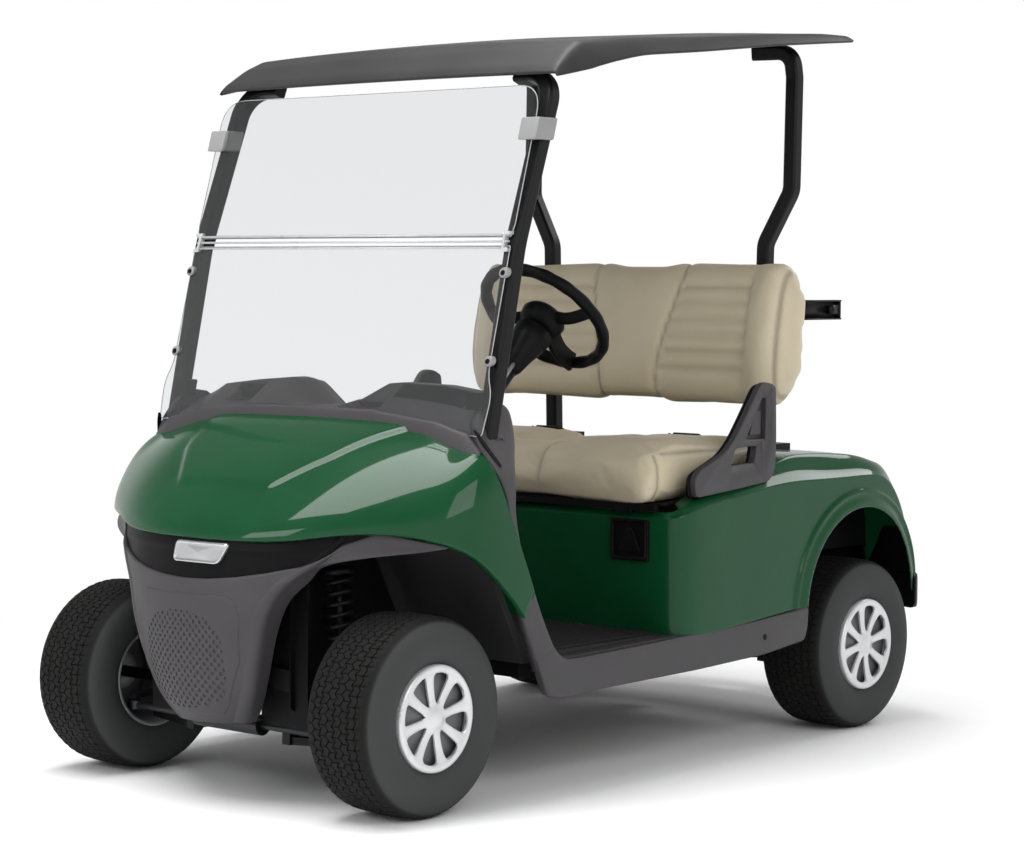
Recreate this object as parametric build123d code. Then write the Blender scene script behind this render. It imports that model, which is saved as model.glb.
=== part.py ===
"""Two-seat electric golf cart, in millimetres.

+Z is up, the front of the cart points along -Y and its left (driver's) side is +X. The origin
is on the ground, in the middle of the overall length and width. Every piece is a node of its
own, and like pieces on one body share a node as solids that do not touch.
"""
from build123d import *
from math import cos, radians, sin
import os

os.makedirs("parts", exist_ok=True)

# ---------------------------------------------------------------- driving dimensions
OVERALL_LENGTH = 2330
FRONT_OVERHANG = 260
REAR_OVERHANG = 400
FRONT_TRACK = 922
REAR_TRACK = 1004

TYRE_RADIUS = 228
TYRE_WIDTH = 208
TYRE_BORE_RADIUS = 118
TYRE_SHOULDER = 34
TYRE_BEAD = 22
RIM_WALL = 5
RIM_INNER_LIP = 10
COVER_RADIUS = 121.5
COVER_THICKNESS = 6
SPOKE_WINDOWS = 8
HUB_RADIUS = 30
HUB_LENGTH = 60
STUB_RADIUS = 14
STUB_DEPTH = 46

BODY_HALF_WIDTH = 598
SHELL_WALL = 5
FLOOR_TOP = 333
FLOOR_THICKNESS = 18
FLOOR_INSET = 58

KINGPIN_X = 345
STEER_ARM_LENGTH = 100
KINGPIN_RADIUS = 15

STEERING_WHEEL_RADIUS = 162
STEERING_RIM_RADIUS = 13
COLUMN_TILT = 44.4

STRUT_SIZE = 38
STRUT_CORNER = 8
PANE_THICKNESS = 5
ROOF_WALL = 7

MOVING_GAP = 6
SEAT_GAP = 0.3

# ---------------------------------------------------------------- derived places
Y_NOSE = -OVERALL_LENGTH / 2
Y_TAIL = OVERALL_LENGTH / 2
Y_FRONT_AXLE = Y_NOSE + FRONT_OVERHANG
Y_REAR_AXLE = Y_TAIL - REAR_OVERHANG
FRONT_WHEEL_X = FRONT_TRACK / 2
REAR_WHEEL_X = REAR_TRACK / 2
FLOOR_HALF_WIDTH = BODY_HALF_WIDTH - FLOOR_INSET


# ---------------------------------------------------------------- small helpers
def yz_plate(outline, x_low, x_high):
    """Extrude an outline of (y, z) points from x_low to x_high."""
    face = make_face(Polyline(*outline, close=True))
    return extrude(Plane.YZ.offset(x_low) * face, amount=x_high - x_low)


def xz_plate(outline, y_low, y_high):
    """Extrude an outline of (x, z) points from y_low to y_high."""
    face = make_face(Polyline(*outline, close=True))
    return extrude(Plane.XZ.offset(-y_high) * face, amount=y_high - y_low)


def xy_plate(outline, z_low, z_high):
    """Extrude an outline of (x, y) points from z_low to z_high."""
    face = make_face(Polyline(*outline, close=True))
    return extrude(Plane.XY.offset(z_low) * face, amount=z_high - z_low)


def block(x_low, x_high, y_low, y_high, z_low, z_high):
    """A box between two corners."""
    centre = Pos((x_low + x_high) / 2, (y_low + y_high) / 2, (z_low + z_high) / 2)
    return centre * Box(x_high - x_low, y_high - y_low, z_high - z_low)


def rod(start, end, radius):
    """A round bar between two points."""
    start, end = Vector(*start), Vector(*end)
    axis = end - start
    plane = Plane(origin=start, z_dir=axis)
    return extrude(plane * Circle(radius), amount=axis.length)


def bent_bar(points, radii, section):
    """Sweep a section along straight runs joined by arcs."""
    path = FilletPolyline(*points, radius=radii)
    return sweep(Plane(origin=path @ 0, z_dir=path % 0) * section, path=path)


def both_sides(solid):
    """The solid and its mirror image about the middle plane, as one node."""
    return Part() + [solid, mirror(solid, about=Plane.YZ)]


def from_front(points):
    """Rows whose first value is measured from the front axle, with their true y."""
    return [(Y_FRONT_AXLE + first, *others) for first, *others in points]


def from_rear(points):
    """Rows whose first value is measured from the rear axle, with their true y."""
    return [(Y_REAR_AXLE + first, *others) for first, *others in points]


def save(part, node):
    """Write one node."""
    export_step(part, "parts/" + node + ".step")


# ---------------------------------------------------------------- wheels and tyres
def tyre(x_centre, y_axle):
    """Low-pressure tyre: a revolved ring with rounded shoulders."""
    ring = Rectangle(TYRE_RADIUS - TYRE_BORE_RADIUS, TYRE_WIDTH)
    ring = Pos((TYRE_RADIUS + TYRE_BORE_RADIUS) / 2, 0) * ring
    ring = fillet(ring.vertices().sort_by(Axis.X)[-2:], TYRE_SHOULDER)
    ring = fillet(ring.vertices().sort_by(Axis.X)[:2], TYRE_BEAD)
    solid = revolve(Plane.XY * ring, axis=Axis.Y)
    return Pos(x_centre, y_axle, TYRE_RADIUS) * (Rot(0, 0, -90) * solid)


def wheel(x_centre, y_axle, outward):
    """Rim barrel, spoked cover and hub. outward is +1 on the left side, -1 on the right."""
    barrel_radius = TYRE_BORE_RADIUS - SEAT_GAP
    half = TYRE_WIDTH / 2 - RIM_INNER_LIP
    barrel = Cylinder(barrel_radius, 2 * half) - Cylinder(barrel_radius - RIM_WALL, 2 * half + 2)
    cover_face = TYRE_WIDTH / 2 - 2
    disc = Pos(0, 0, cover_face - COVER_THICKNESS / 2) * Cylinder(COVER_RADIUS, COVER_THICKNESS)
    collar_low = half - 4
    collar = Pos(0, 0, (collar_low + cover_face) / 2) * (
        Cylinder(barrel_radius - 1, cover_face - collar_low)
        - Cylinder(barrel_radius - RIM_WALL - 1, cover_face))
    window = make_face(Polyline((38, -6), (60, -14), (94, -23), (101, -12), (101, 12), (94, 23),
                                (60, 14), (38, 6), close=True))
    for index in range(SPOKE_WINDOWS):
        cut = Rot(0, 0, 360 / SPOKE_WINDOWS * index) * window
        disc -= Pos(0, 0, cover_face - 2 * COVER_THICKNESS) * extrude(cut, 3 * COVER_THICKNESS)
    hub = Pos(0, 0, cover_face - HUB_LENGTH / 2) * Cylinder(HUB_RADIUS, HUB_LENGTH)
    web_face = cover_face - HUB_LENGTH
    web = Pos(0, 0, web_face + 4) * Cylinder(barrel_radius - 1, 8)
    web -= Pos(0, 0, web_face + 4) * Cylinder(HUB_RADIUS - 1, 10)
    bore = Pos(0, 0, web_face + STUB_DEPTH / 2 - 4)
    bore *= Cylinder(STUB_RADIUS + SEAT_GAP, STUB_DEPTH + 8)
    solid = barrel + disc + collar + hub + web - bore
    return Pos(x_centre, y_axle, TYRE_RADIUS) * (Rot(0, 90 * outward, 0) * solid)


WHEEL_PLACES = [  # name, x of wheel centre, y of axle, outward direction
    ("front_left", FRONT_WHEEL_X, Y_FRONT_AXLE, 1),
    ("front_right", -FRONT_WHEEL_X, Y_FRONT_AXLE, -1),
    ("rear_left", REAR_WHEEL_X, Y_REAR_AXLE, 1),
    ("rear_right", -REAR_WHEEL_X, Y_REAR_AXLE, -1),
]
for corner, wheel_x, axle_y, outward in WHEEL_PLACES:
    save(tyre(wheel_x, axle_y), "tyre_" + corner)
    save(wheel(wheel_x, axle_y, outward), "wheel_" + corner)

# ---------------------------------------------------------------- chassis frame and floor
RAIL_X = 190
RAIL_WIDTH = 50
RAIL_TOP = FLOOR_TOP - FLOOR_THICKNESS
RAIL_BOTTOM = RAIL_TOP - 50
RAIL_FRONT, RAIL_REAR = Y_FRONT_AXLE - 120, Y_REAR_AXLE + 319
rail_left = block(RAIL_X - RAIL_WIDTH / 2, RAIL_X + RAIL_WIDTH / 2, RAIL_FRONT, RAIL_REAR,
                  RAIL_BOTTOM, RAIL_TOP)
frame = rail_left + mirror(rail_left, about=Plane.YZ)
CROSS_TUBES = [  # y of centre, half length, height
    (Y_FRONT_AXLE - 95, 215, 40),
    (Y_FRONT_AXLE + 345, FLOOR_HALF_WIDTH - 20, 36),
    (Y_REAR_AXLE - 825, FLOOR_HALF_WIDTH - 20, 36),
    (Y_REAR_AXLE - 345, 330, 40),
    (Y_REAR_AXLE + 270, 320, 40),
]
for tube_y, tube_half, tube_height in CROSS_TUBES:
    frame += block(-tube_half, tube_half, tube_y - 20, tube_y + 20,
                   RAIL_TOP - tube_height, RAIL_TOP)
TOWER_X = 225
TOWER_TOP = 560
TOWER_PLATE = 10
tower = block(TOWER_X - 30, TOWER_X - 12, Y_FRONT_AXLE - 45, Y_FRONT_AXLE + 45,
              RAIL_TOP + SEAT_GAP, TOWER_TOP)
tower += block(TOWER_X - 30, TOWER_X + 70, Y_FRONT_AXLE - 45, Y_FRONT_AXLE + 45,
               TOWER_TOP, TOWER_TOP + TOWER_PLATE)
save(both_sides(tower), "shock_towers")
HITCH_HOLE_RADIUS = 8
HITCH_Y = Y_REAR_AXLE + 350
hitch = block(-40, 40, HITCH_Y - 97, HITCH_Y + 25, RAIL_BOTTOM, RAIL_TOP - 40)
hitch -= Pos(0, HITCH_Y, RAIL_BOTTOM) * Cylinder(HITCH_HOLE_RADIUS, 40)
frame += hitch
save(frame, "frame_rails")

TOE_FOOT_Y = Y_FRONT_AXLE + 315
TOE_TOP = (Y_FRONT_AXLE + 160, 600)
FLOOR_REAR = Y_REAR_AXLE - 795
floor_outline = [
    (FLOOR_REAR, FLOOR_TOP - FLOOR_THICKNESS), (FLOOR_REAR, FLOOR_TOP), (TOE_FOOT_Y + 15, FLOOR_TOP),
    (TOE_TOP[0] + FLOOR_THICKNESS, TOE_TOP[1]), TOE_TOP,
    (TOE_FOOT_Y, FLOOR_TOP - FLOOR_THICKNESS),
]
floor_mat = yz_plate(floor_outline, -FLOOR_HALF_WIDTH, FLOOR_HALF_WIDTH)
save(floor_mat, "floor_mat")

# ---------------------------------------------------------------- rocker and pillar mouldings
ROCKER_TAIL = [(-501, 255), (-272, 266), (-265, 349), (-302, 355), (-736, 323)]  # (y, z)
PILLAR = [  # (y, z) down the pillar's rear edge from the sill, and back down its front edge
    (539, 310), (445, 315), (408, 327), (371, 392), (335, 465), (262, 609),
    (254, 701), (247, 770), (237, 845), (205, 880), (145, 868), (117, 826),
    (174, 730), (209, 671), (299, 481), (264, 431), (300, 331), (348, 244),
    (362, 236), (539, 241),
]
PILLAR_SEAM = [(415, 345), (345, 225)]  # where the pillar moulding meets the sill
ROCKER_OUTLINE = [*from_rear(ROCKER_TAIL), *from_front(PILLAR), (Y_REAR_AXLE - 735, 250)]
PILLAR_THICKNESS = 22
rocker_inner = BODY_HALF_WIDTH - PILLAR_THICKNESS
rocker = yz_plate(ROCKER_OUTLINE, rocker_inner, BODY_HALF_WIDTH)
seam_rear = [(y + 2 * SEAT_GAP, z) for y, z in reversed(PILLAR_SEAM)]
rocker -= yz_plate(from_front(PILLAR_SEAM + seam_rear), rocker_inner, BODY_HALF_WIDTH)
sill_step = block(FLOOR_HALF_WIDTH + SEAT_GAP, rocker_inner, Y_FRONT_AXLE + 425, Y_REAR_AXLE - 800,
                  FLOOR_TOP - FLOOR_THICKNESS, FLOOR_TOP - 4)
save(both_sides(rocker + sill_step), "rocker_panels")

# ---------------------------------------------------------------- front shells
HOOD_STATIONS = from_front([  # y, half width, z of side top, x of shoulder, z of shoulder, z of crown
    (-215, 110, 622, 70, 627, 630),
    (-155, 300, 640, 215, 672, 684),
    (-101, 391, 652, 300, 705, 726),
    (-5, BODY_HALF_WIDTH - 78, 690, BODY_HALF_WIDTH - 178, 775, 803),
    (75, BODY_HALF_WIDTH - 15, 735, BODY_HALF_WIDTH - 118, 820, 848),
    (170, BODY_HALF_WIDTH, 800, BODY_HALF_WIDTH - 78, 850, 876),
])
HOOD_LOW = 380


def hood_section(y, half_width, z_side, x_shoulder, z_shoulder, z_crown, inset=0.0, drop=0.0):
    """One cross-section of the front envelope: upright sides, a shoulder arc and a crown arc."""
    half_width, x_shoulder = half_width - inset, x_shoulder - 0.7 * inset
    z_side, z_shoulder, z_crown = z_side - 0.5 * inset, z_shoulder - inset, z_crown - inset
    z_low = HOOD_LOW - drop
    middle = ((half_width + x_shoulder) / 2 + 0.09 * (half_width - x_shoulder),
              (z_side + z_shoulder) / 2 + 0.12 * (z_shoulder - z_side))
    edges = [
        Line((-half_width, z_low), (half_width, z_low)),
        Line((half_width, z_low), (half_width, z_side)),
        ThreePointArc((half_width, z_side), middle, (x_shoulder, z_shoulder)),
        ThreePointArc((x_shoulder, z_shoulder), (0, z_crown), (-x_shoulder, z_shoulder)),
        ThreePointArc((-x_shoulder, z_shoulder), (-middle[0], middle[1]), (-half_width, z_side)),
        Line((-half_width, z_side), (-half_width, z_low)),
    ]
    return Plane.XZ.offset(-y) * make_face(edges)


def hood_solid(inset, drop, shift):
    """The front envelope as a solid; shift moves its nose rearward and its tail past the rim."""
    sections = []
    for index, station in enumerate(HOOD_STATIONS):
        y_shift = shift if index < len(HOOD_STATIONS) - 1 else 2 * shift
        sections.append(hood_section(station[0] + y_shift, *station[1:], inset, drop))
    return loft(sections, ruled=True)


hood_shell = hood_solid(0, 0, 0) - hood_solid(SHELL_WALL, 30, 0.8 * SHELL_WALL)

GREEN_EDGE = [  # (y, z) lower edge of the cowl from the nose to the pillar
    (-225, 612), (-101, 637), (7, 604), (74, 575), (142, 533), (194, 479), (247, 405),
    (264, 431), (299, 481), (209, 671), (174, 730), (117, 826), (153, 866),
]
above_edge = [(153, 1000), (-295, 1000), (-295, 600)]
cowl_window = yz_plate(from_front(GREEN_EDGE + above_edge), -2 * BODY_HALF_WIDTH, 2 * BODY_HALF_WIDTH)
cowl = hood_shell & cowl_window
save(cowl, "cowl")

ARM_OUTLINE = [  # (y, z) grey band of the fascia above the wheel
    (-141, 571), (-105, 634), (-99, 636), (7, 603), (15, 598), (-55, 584),
]
fascia_arm = hood_shell & yz_plate(from_front(ARM_OUTLINE), -2 * BODY_HALF_WIDTH, 2 * BODY_HALF_WIDTH)

PANEL_PROUD = 3
FASCIA_STATIONS = [  # z, half width, y at the side, y at the middle
    (636, 391, Y_NOSE + 159, Y_NOSE + 43),
    (573, 335, Y_NOSE + 119, Y_NOSE + 19),
    (460, 227, Y_NOSE + 47, Y_NOSE + 3),
    (384, 206, Y_NOSE + 53, Y_NOSE + PANEL_PROUD + SEAT_GAP),
    (267, 168, Y_NOSE + 65, Y_NOSE + 7),
    (190, 125, Y_NOSE + 87, Y_NOSE + 40),
]
FASCIA_RETURN = 60


def fascia_section(z, half_width, y_side, y_front, inset=0.0, back=0.0):
    """One level of the fascia: a front arc and two returns that run rearward."""
    half_width, y_side, y_front = half_width - inset, y_side + inset, y_front + inset
    y_back = y_side + FASCIA_RETURN + back
    edges = [
        ThreePointArc((-half_width, y_side), (0, y_front), (half_width, y_side)),
        Line((half_width, y_side), (half_width, y_back)),
        Line((half_width, y_back), (-half_width, y_back)),
        Line((-half_width, y_back), (-half_width, y_side)),
    ]
    return Plane.XY.offset(z) * make_face(edges)


def fascia_solid(inset, back, stretch, stations=None):
    """The fascia envelope as a solid; stretch moves its two end levels outward in z."""
    stations = stations or FASCIA_STATIONS
    sections = []
    for index, station in enumerate(stations):
        z_shift = stretch if index == 0 else (-stretch if index == len(stations) - 1 else 0)
        sections.append(fascia_section(station[0] + z_shift, *station[1:], inset, back))
    return loft(sections, ruled=True)


fascia_shell = fascia_solid(0, 0, 0) - fascia_solid(SHELL_WALL, 40, 10)
LOWER_BAND_EDGE = [(-265, 518), (-237, 527), (-143, 573), (-103, 634)]
below_edge = [(5, 634), (5, 150), (-295, 150), (-295, 518)]
below_band = yz_plate(from_front(LOWER_BAND_EDGE + below_edge), -450, 450)
fascia = (fascia_shell & below_band) + fascia_arm
save(fascia, "fascia")

BAND_RECESS = 8
band_shell = fascia_solid(BAND_RECESS, 0, 0) - fascia_solid(BAND_RECESS + SHELL_WALL, 40, 10)
band_window = yz_plate(from_front([
    (-265, 505), (-235, 514), (-143, 562), (-110, 600), (-125, 625), (-225, 605), (-265, 600),
]), -450, 450)
save((band_shell & band_window) - fascia, "nose_band")

PLATE_SIZE = (116, 40, 5)
plate_y = Y_NOSE + 18 + BAND_RECESS - PLATE_SIZE[2] / 2 - SEAT_GAP - 0.4
name_plate = Pos(0, plate_y, 566) * (Rot(-8, 0, 0) * Box(PLATE_SIZE[0], PLATE_SIZE[2],
                                                         PLATE_SIZE[1]))
save(name_plate, "name_plate")

panel_outline = [(-138, 486), (138, 486), (165, 440), (165, 340), (112, 228), (92, 216),
                 (-92, 216), (-112, 228), (-165, 340), (-165, 440)]
panel_shell = fascia_solid(-PANEL_PROUD - SEAT_GAP, 0, 0) - fascia_solid(-SEAT_GAP, 60, 10)
grille_panel = panel_shell & xz_plate(panel_outline, Y_NOSE - 35, Y_NOSE + 80)
save(grille_panel, "grille_panel")

# inner liners beside the front wheels
LINER_THICKNESS = 4
LINER_INNER = 216
LINER_TOP = 640
LINER_LOW = 200
liner_outline = [(-120, LINER_TOP), (-120, LINER_LOW + 30), (-85, LINER_LOW),
                 (175, LINER_LOW), (237, 400), (143, 580), (139, LINER_TOP)]
liner = yz_plate(from_front(liner_outline), LINER_INNER, LINER_INNER + LINER_THICKNESS)
liner -= block(LINER_INNER - 1, LINER_INNER + LINER_THICKNESS + 1, Y_FRONT_AXLE - 45 - SEAT_GAP,
               Y_FRONT_AXLE + 45 + SEAT_GAP, TOWER_TOP - SEAT_GAP,
               TOWER_TOP + TOWER_PLATE + SEAT_GAP)
well_roof = xy_plate([
    (LINER_INNER, Y_FRONT_AXLE - 95), (370, Y_FRONT_AXLE - 80),
    (BODY_HALF_WIDTH - 103, Y_FRONT_AXLE + 5), (BODY_HALF_WIDTH - 42, Y_FRONT_AXLE + 75),
    (BODY_HALF_WIDTH - 32, Y_FRONT_AXLE + 139), (LINER_INNER, Y_FRONT_AXLE + 139),
], LINER_TOP, LINER_TOP + LINER_THICKNESS)
save(both_sides(liner + well_roof), "front_liners")

# ---------------------------------------------------------------- dash
DASH_HALF = BODY_HALF_WIDTH - 53
DASH_SHOULDER = BODY_HALF_WIDTH - 98
dash_front_view = [
    (-DASH_HALF, 700), (-DASH_HALF, 845), (-DASH_SHOULDER, 896), (-406, 938), (-297, 952),
    (-191, 956), (-138, 932), (-54, 898), (54, 898), (138, 932), (191, 956), (297, 957),
    (406, 942), (DASH_SHOULDER, 896), (DASH_HALF, 845), (DASH_HALF, 700),
]
dash_side_view = [
    (145, 876), (183, 896), (265, 950), (305, 970), (349, 965), (357, 900), (305, 720),
    (265, 700), (185, 700), (160, 830), (147, 862),
]
DASH_FRONT, DASH_REAR = Y_FRONT_AXLE + 145, Y_FRONT_AXLE + 365
dash = xz_plate(dash_front_view, DASH_FRONT, DASH_REAR)
dash &= yz_plate(from_front(dash_side_view), -BODY_HALF_WIDTH, BODY_HALF_WIDTH)
DASH_BINS = [  # x from, x to, floor z
    (-430, -180, 868),
    (185, 430, 868),
]
for bin_from, bin_to, bin_floor in DASH_BINS:
    dash -= block(bin_from, bin_to, DASH_FRONT + 88, DASH_REAR - 45, bin_floor, 1000)
    dash -= block(bin_from + 10, bin_to - 10, DASH_REAR - 60, DASH_REAR, bin_floor + 30,
                  bin_floor + 66)

# ---------------------------------------------------------------- steering
WHEEL_CENTRE = Vector(285, Y_FRONT_AXLE + 690, 1111)
COLUMN_AXIS = Vector(0, cos(radians(COLUMN_TILT)), sin(radians(COLUMN_TILT)))
COLUMN_RADIUS = 26
COLUMN_TOP = 62
COLUMN_FOOT = 560
steering_plane = Plane(origin=WHEEL_CENTRE, x_dir=(1, 0, 0), z_dir=COLUMN_AXIS)
rim = Torus(STEERING_WHEEL_RADIUS, STEERING_RIM_RADIUS)
SHAFT_RADIUS = 12
hub = Pos(0, 0, -20) * (Cylinder(48, 46) - Pos(0, 0, -16) * Cylinder(SHAFT_RADIUS + SEAT_GAP, 30))
spokes = Pos(0, -2, -8) * Box(2 * STEERING_WHEEL_RADIUS - 8, 34, 14)
lower_spoke = Pos(0, STEERING_WHEEL_RADIUS / 2, -8) * Box(70, STEERING_WHEEL_RADIUS - 6, 12)
steering_wheel = steering_plane * (rim + hub + spokes + lower_spoke)
save(steering_wheel, "steering_wheel")


def on_column(distance):
    """A point on the column's axis, measured down from the middle of the steering wheel."""
    return WHEEL_CENTRE - COLUMN_AXIS * distance


column = rod(on_column(COLUMN_TOP - 14), on_column(COLUMN_FOOT), COLUMN_RADIUS)
shroud = rod(on_column(COLUMN_TOP), on_column(200), 44)
shaft = rod(on_column(22), on_column(COLUMN_TOP), SHAFT_RADIUS)
column = column + shroud + shaft
column -= dash
save(column, "steering_column")

PEDALS = [  # x of middle, width, height
    (330, 70, 120),
    (215, 110, 90),
]
pedals = Part()
for pedal_x, pedal_width, pedal_height in PEDALS:
    pad = Pos(pedal_x, TOE_FOOT_Y - 10, 440) * (Rot(-40, 0, 0) * Box(pedal_width, 14, pedal_height))
    stem = rod((pedal_x, TOE_FOOT_Y - 12, 440), (pedal_x, TOE_FOOT_Y - 65, 400), 9)
    pedals += pad + stem
pedals -= yz_plate([(0, FLOOR_TOP), (TOE_FOOT_Y + 15, FLOOR_TOP),
                    (TOE_TOP[0] + FLOOR_THICKNESS + SEAT_GAP, TOE_TOP[1]),
                    (Y_FRONT_AXLE, TOE_TOP[1]), (Y_FRONT_AXLE, 0), (0, 0)], 0, FLOOR_HALF_WIDTH)
save(pedals, "pedals")

# ---------------------------------------------------------------- front suspension and steering
ARM_BALL_Z = 150
ARM_PIVOT = (150, 78)
ARM_THICKNESS = 18
arm_outline = [
    (KINGPIN_X + 16, Y_FRONT_AXLE - 18), (KINGPIN_X + 16, Y_FRONT_AXLE + 18),
    (ARM_PIVOT[0] + 60, Y_FRONT_AXLE + 54), (ARM_PIVOT[0], Y_FRONT_AXLE + ARM_PIVOT[1]),
    (ARM_PIVOT[0], Y_FRONT_AXLE - ARM_PIVOT[1]), (ARM_PIVOT[0] + 60, Y_FRONT_AXLE - 54),
]
front_arm = xy_plate(arm_outline, ARM_BALL_Z - ARM_THICKNESS, ARM_BALL_Z)
front_arm -= Pos(ARM_PIVOT[0] + 60, Y_FRONT_AXLE, ARM_BALL_Z - 9) * Cylinder(30, 40)
front_arm -= Pos(KINGPIN_X, Y_FRONT_AXLE, ARM_BALL_Z - 9) * Cylinder(KINGPIN_RADIUS - 5 + SEAT_GAP, 40)
hanger = block(ARM_PIVOT[0], ARM_PIVOT[0] + 24, Y_FRONT_AXLE - ARM_PIVOT[1],
               Y_FRONT_AXLE + ARM_PIVOT[1], ARM_BALL_Z - ARM_THICKNESS, RAIL_BOTTOM - SEAT_GAP)
hanger += block(ARM_PIVOT[0], RAIL_X, Y_FRONT_AXLE - 30, Y_FRONT_AXLE + 30,
                RAIL_BOTTOM - 12, RAIL_BOTTOM - SEAT_GAP)
save(both_sides(front_arm + hanger), "front_arms")

SHOCK_FOOT = (282, Y_FRONT_AXLE - 6, ARM_BALL_Z - 12)
SHOCK_TOP = (262, Y_FRONT_AXLE - 12, TOWER_TOP + 12)
COIL_RADIUS = 30
COIL_WIRE = 10
COIL_TURNS = 8
COIL_RISE = 24
DAMPER_RADIUS = 17
shock_axis = Vector(*SHOCK_TOP) - Vector(*SHOCK_FOOT)
shock_plane = Plane(origin=SHOCK_FOOT, z_dir=shock_axis)
shock = Pos(0, 0, shock_axis.length / 2) * Cylinder(DAMPER_RADIUS, shock_axis.length - 8)
for turn in range(COIL_TURNS):
    level = shock_axis.length - 30 - COIL_RISE * turn
    shock += Pos(0, 0, level) * Cylinder(COIL_RADIUS, COIL_WIRE)
shock = shock_plane * shock
shock &= block(200, 330, Y_FRONT_AXLE - 60, Y_FRONT_AXLE + 60, ARM_BALL_Z + SEAT_GAP,
               TOWER_TOP - SEAT_GAP)
save(both_sides(shock), "front_shocks")

STUB_END = FRONT_WHEEL_X + TYRE_WIDTH / 2 - 2 - HUB_LENGTH + STUB_DEPTH - 6
knuckle = rod((KINGPIN_X, Y_FRONT_AXLE, ARM_BALL_Z + MOVING_GAP), (KINGPIN_X, Y_FRONT_AXLE, 320),
              KINGPIN_RADIUS)
knuckle += rod((KINGPIN_X, Y_FRONT_AXLE, ARM_BALL_Z - ARM_THICKNESS - 4),
               (KINGPIN_X, Y_FRONT_AXLE, TYRE_RADIUS), KINGPIN_RADIUS - 5)
knuckle += rod((KINGPIN_X, Y_FRONT_AXLE, TYRE_RADIUS), (STUB_END, Y_FRONT_AXLE, TYRE_RADIUS),
               STUB_RADIUS)
STEER_ARM_X = KINGPIN_X - 15
STEER_ARM_Z = 190
knuckle += xy_plate([(KINGPIN_X - 12, Y_FRONT_AXLE), (KINGPIN_X + 12, Y_FRONT_AXLE),
                     (STEER_ARM_X + 12, Y_FRONT_AXLE - STEER_ARM_LENGTH - 12),
                     (STEER_ARM_X - 12, Y_FRONT_AXLE - STEER_ARM_LENGTH - 12)],
                    STEER_ARM_Z, STEER_ARM_Z + 12)
save(knuckle, "knuckle_left")
save(mirror(knuckle, about=Plane.YZ), "knuckle_right")

TIE_EYE_HEIGHT = 20
TIE_Z = STEER_ARM_Z - MOVING_GAP - TIE_EYE_HEIGHT / 2
tie_y = Y_FRONT_AXLE - STEER_ARM_LENGTH
tie_rods = rod((-STEER_ARM_X, tie_y, TIE_Z), (STEER_ARM_X, tie_y, TIE_Z), 9)
for side in (1, -1):
    tie_rods += Pos(side * STEER_ARM_X, tie_y, TIE_Z) * Cylinder(13, TIE_EYE_HEIGHT)
save(tie_rods, "tie_rods")
rack = rod((-110, tie_y, TIE_Z), (110, tie_y, TIE_Z), 24) - rod(
    (-120, tie_y, TIE_Z), (120, tie_y, TIE_Z), 9 + SEAT_GAP)
rack += block(-60, 60, tie_y - 8, tie_y + 8, TIE_Z + 22, RAIL_TOP - 40 - SEAT_GAP)
save(rack, "steering_rack")

# ---------------------------------------------------------------- rear axle, drive and springs
AXLE_TUBE_RADIUS = 34
axle_end = REAR_WHEEL_X + TYRE_WIDTH / 2 - 2 - HUB_LENGTH + STUB_DEPTH - 6
rear_axle = rod((-axle_end, Y_REAR_AXLE, TYRE_RADIUS), (axle_end, Y_REAR_AXLE, TYRE_RADIUS),
                STUB_RADIUS)
drum_inner = REAR_WHEEL_X - TYRE_WIDTH / 2 - 12
rear_axle += rod((-drum_inner, Y_REAR_AXLE, TYRE_RADIUS), (drum_inner, Y_REAR_AXLE, TYRE_RADIUS),
                 AXLE_TUBE_RADIUS)
rear_axle += Pos(-60, Y_REAR_AXLE, TYRE_RADIUS) * (Rot(0, 90, 0) * Cylinder(84, 120))
save(rear_axle, "rear_axle")
motor = rod((0.3, Y_REAR_AXLE - 60, TYRE_RADIUS + 20), (150, Y_REAR_AXLE - 60, TYRE_RADIUS + 20), 70)
motor -= rod((-200, Y_REAR_AXLE, TYRE_RADIUS), (200, Y_REAR_AXLE, TYRE_RADIUS),
             AXLE_TUBE_RADIUS + SEAT_GAP)
motor -= rail_left
save(motor, "drive_motor")

SPRING_X = 300
spring_leaf = 8
spring_path = from_rear([(-335, 250), (-165, 205), (0, 190), (165, 205), (285, 255)])
spring_front, spring_rear = spring_path[0][0], spring_path[-1][0]
spring_outline = spring_path + [(y, z - 3 * spring_leaf) for y, z in reversed(spring_path)]
spring = yz_plate(spring_outline, SPRING_X - 22, SPRING_X + 22)
spring += block(SPRING_X - 30, SPRING_X + 30, Y_REAR_AXLE - 40, Y_REAR_AXLE + 40, 154,
                TYRE_RADIUS - AXLE_TUBE_RADIUS - SEAT_GAP)
spring += block(SPRING_X - 12, SPRING_X + 12, spring_front - 5, spring_front + 15, 240, RAIL_TOP - 40 - SEAT_GAP)
spring += block(SPRING_X - 12, SPRING_X + 12, spring_rear - 25, spring_rear - 2, 240, RAIL_TOP - 40 - SEAT_GAP)
save(both_sides(spring), "rear_springs")

BATTERY = (-255, 255, Y_REAR_AXLE - 705, Y_REAR_AXLE - 365, RAIL_TOP + SEAT_GAP, 600)
save(block(*BATTERY), "battery")

# ---------------------------------------------------------------- rear body shell
REAR_STATIONS = from_rear([  # y, side's inset, z of side top, deck edge's inset and z
    (-827, 36, 628, 68, 646),
    (-785, 4, 638, 42, 652),
    (-465, 0, 684, 32, 700),
    (-325, 0, 708, 42, 770),
    (-80, 0, 699, 46, 741),
    (96, 2, 668, 52, 711),
    (195, 10, 566, 60, 634),
    (265, 24, 440, 72, 512),
    (298, 32, 380, 78, 400),
])
REAR_LOW = 345


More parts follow.
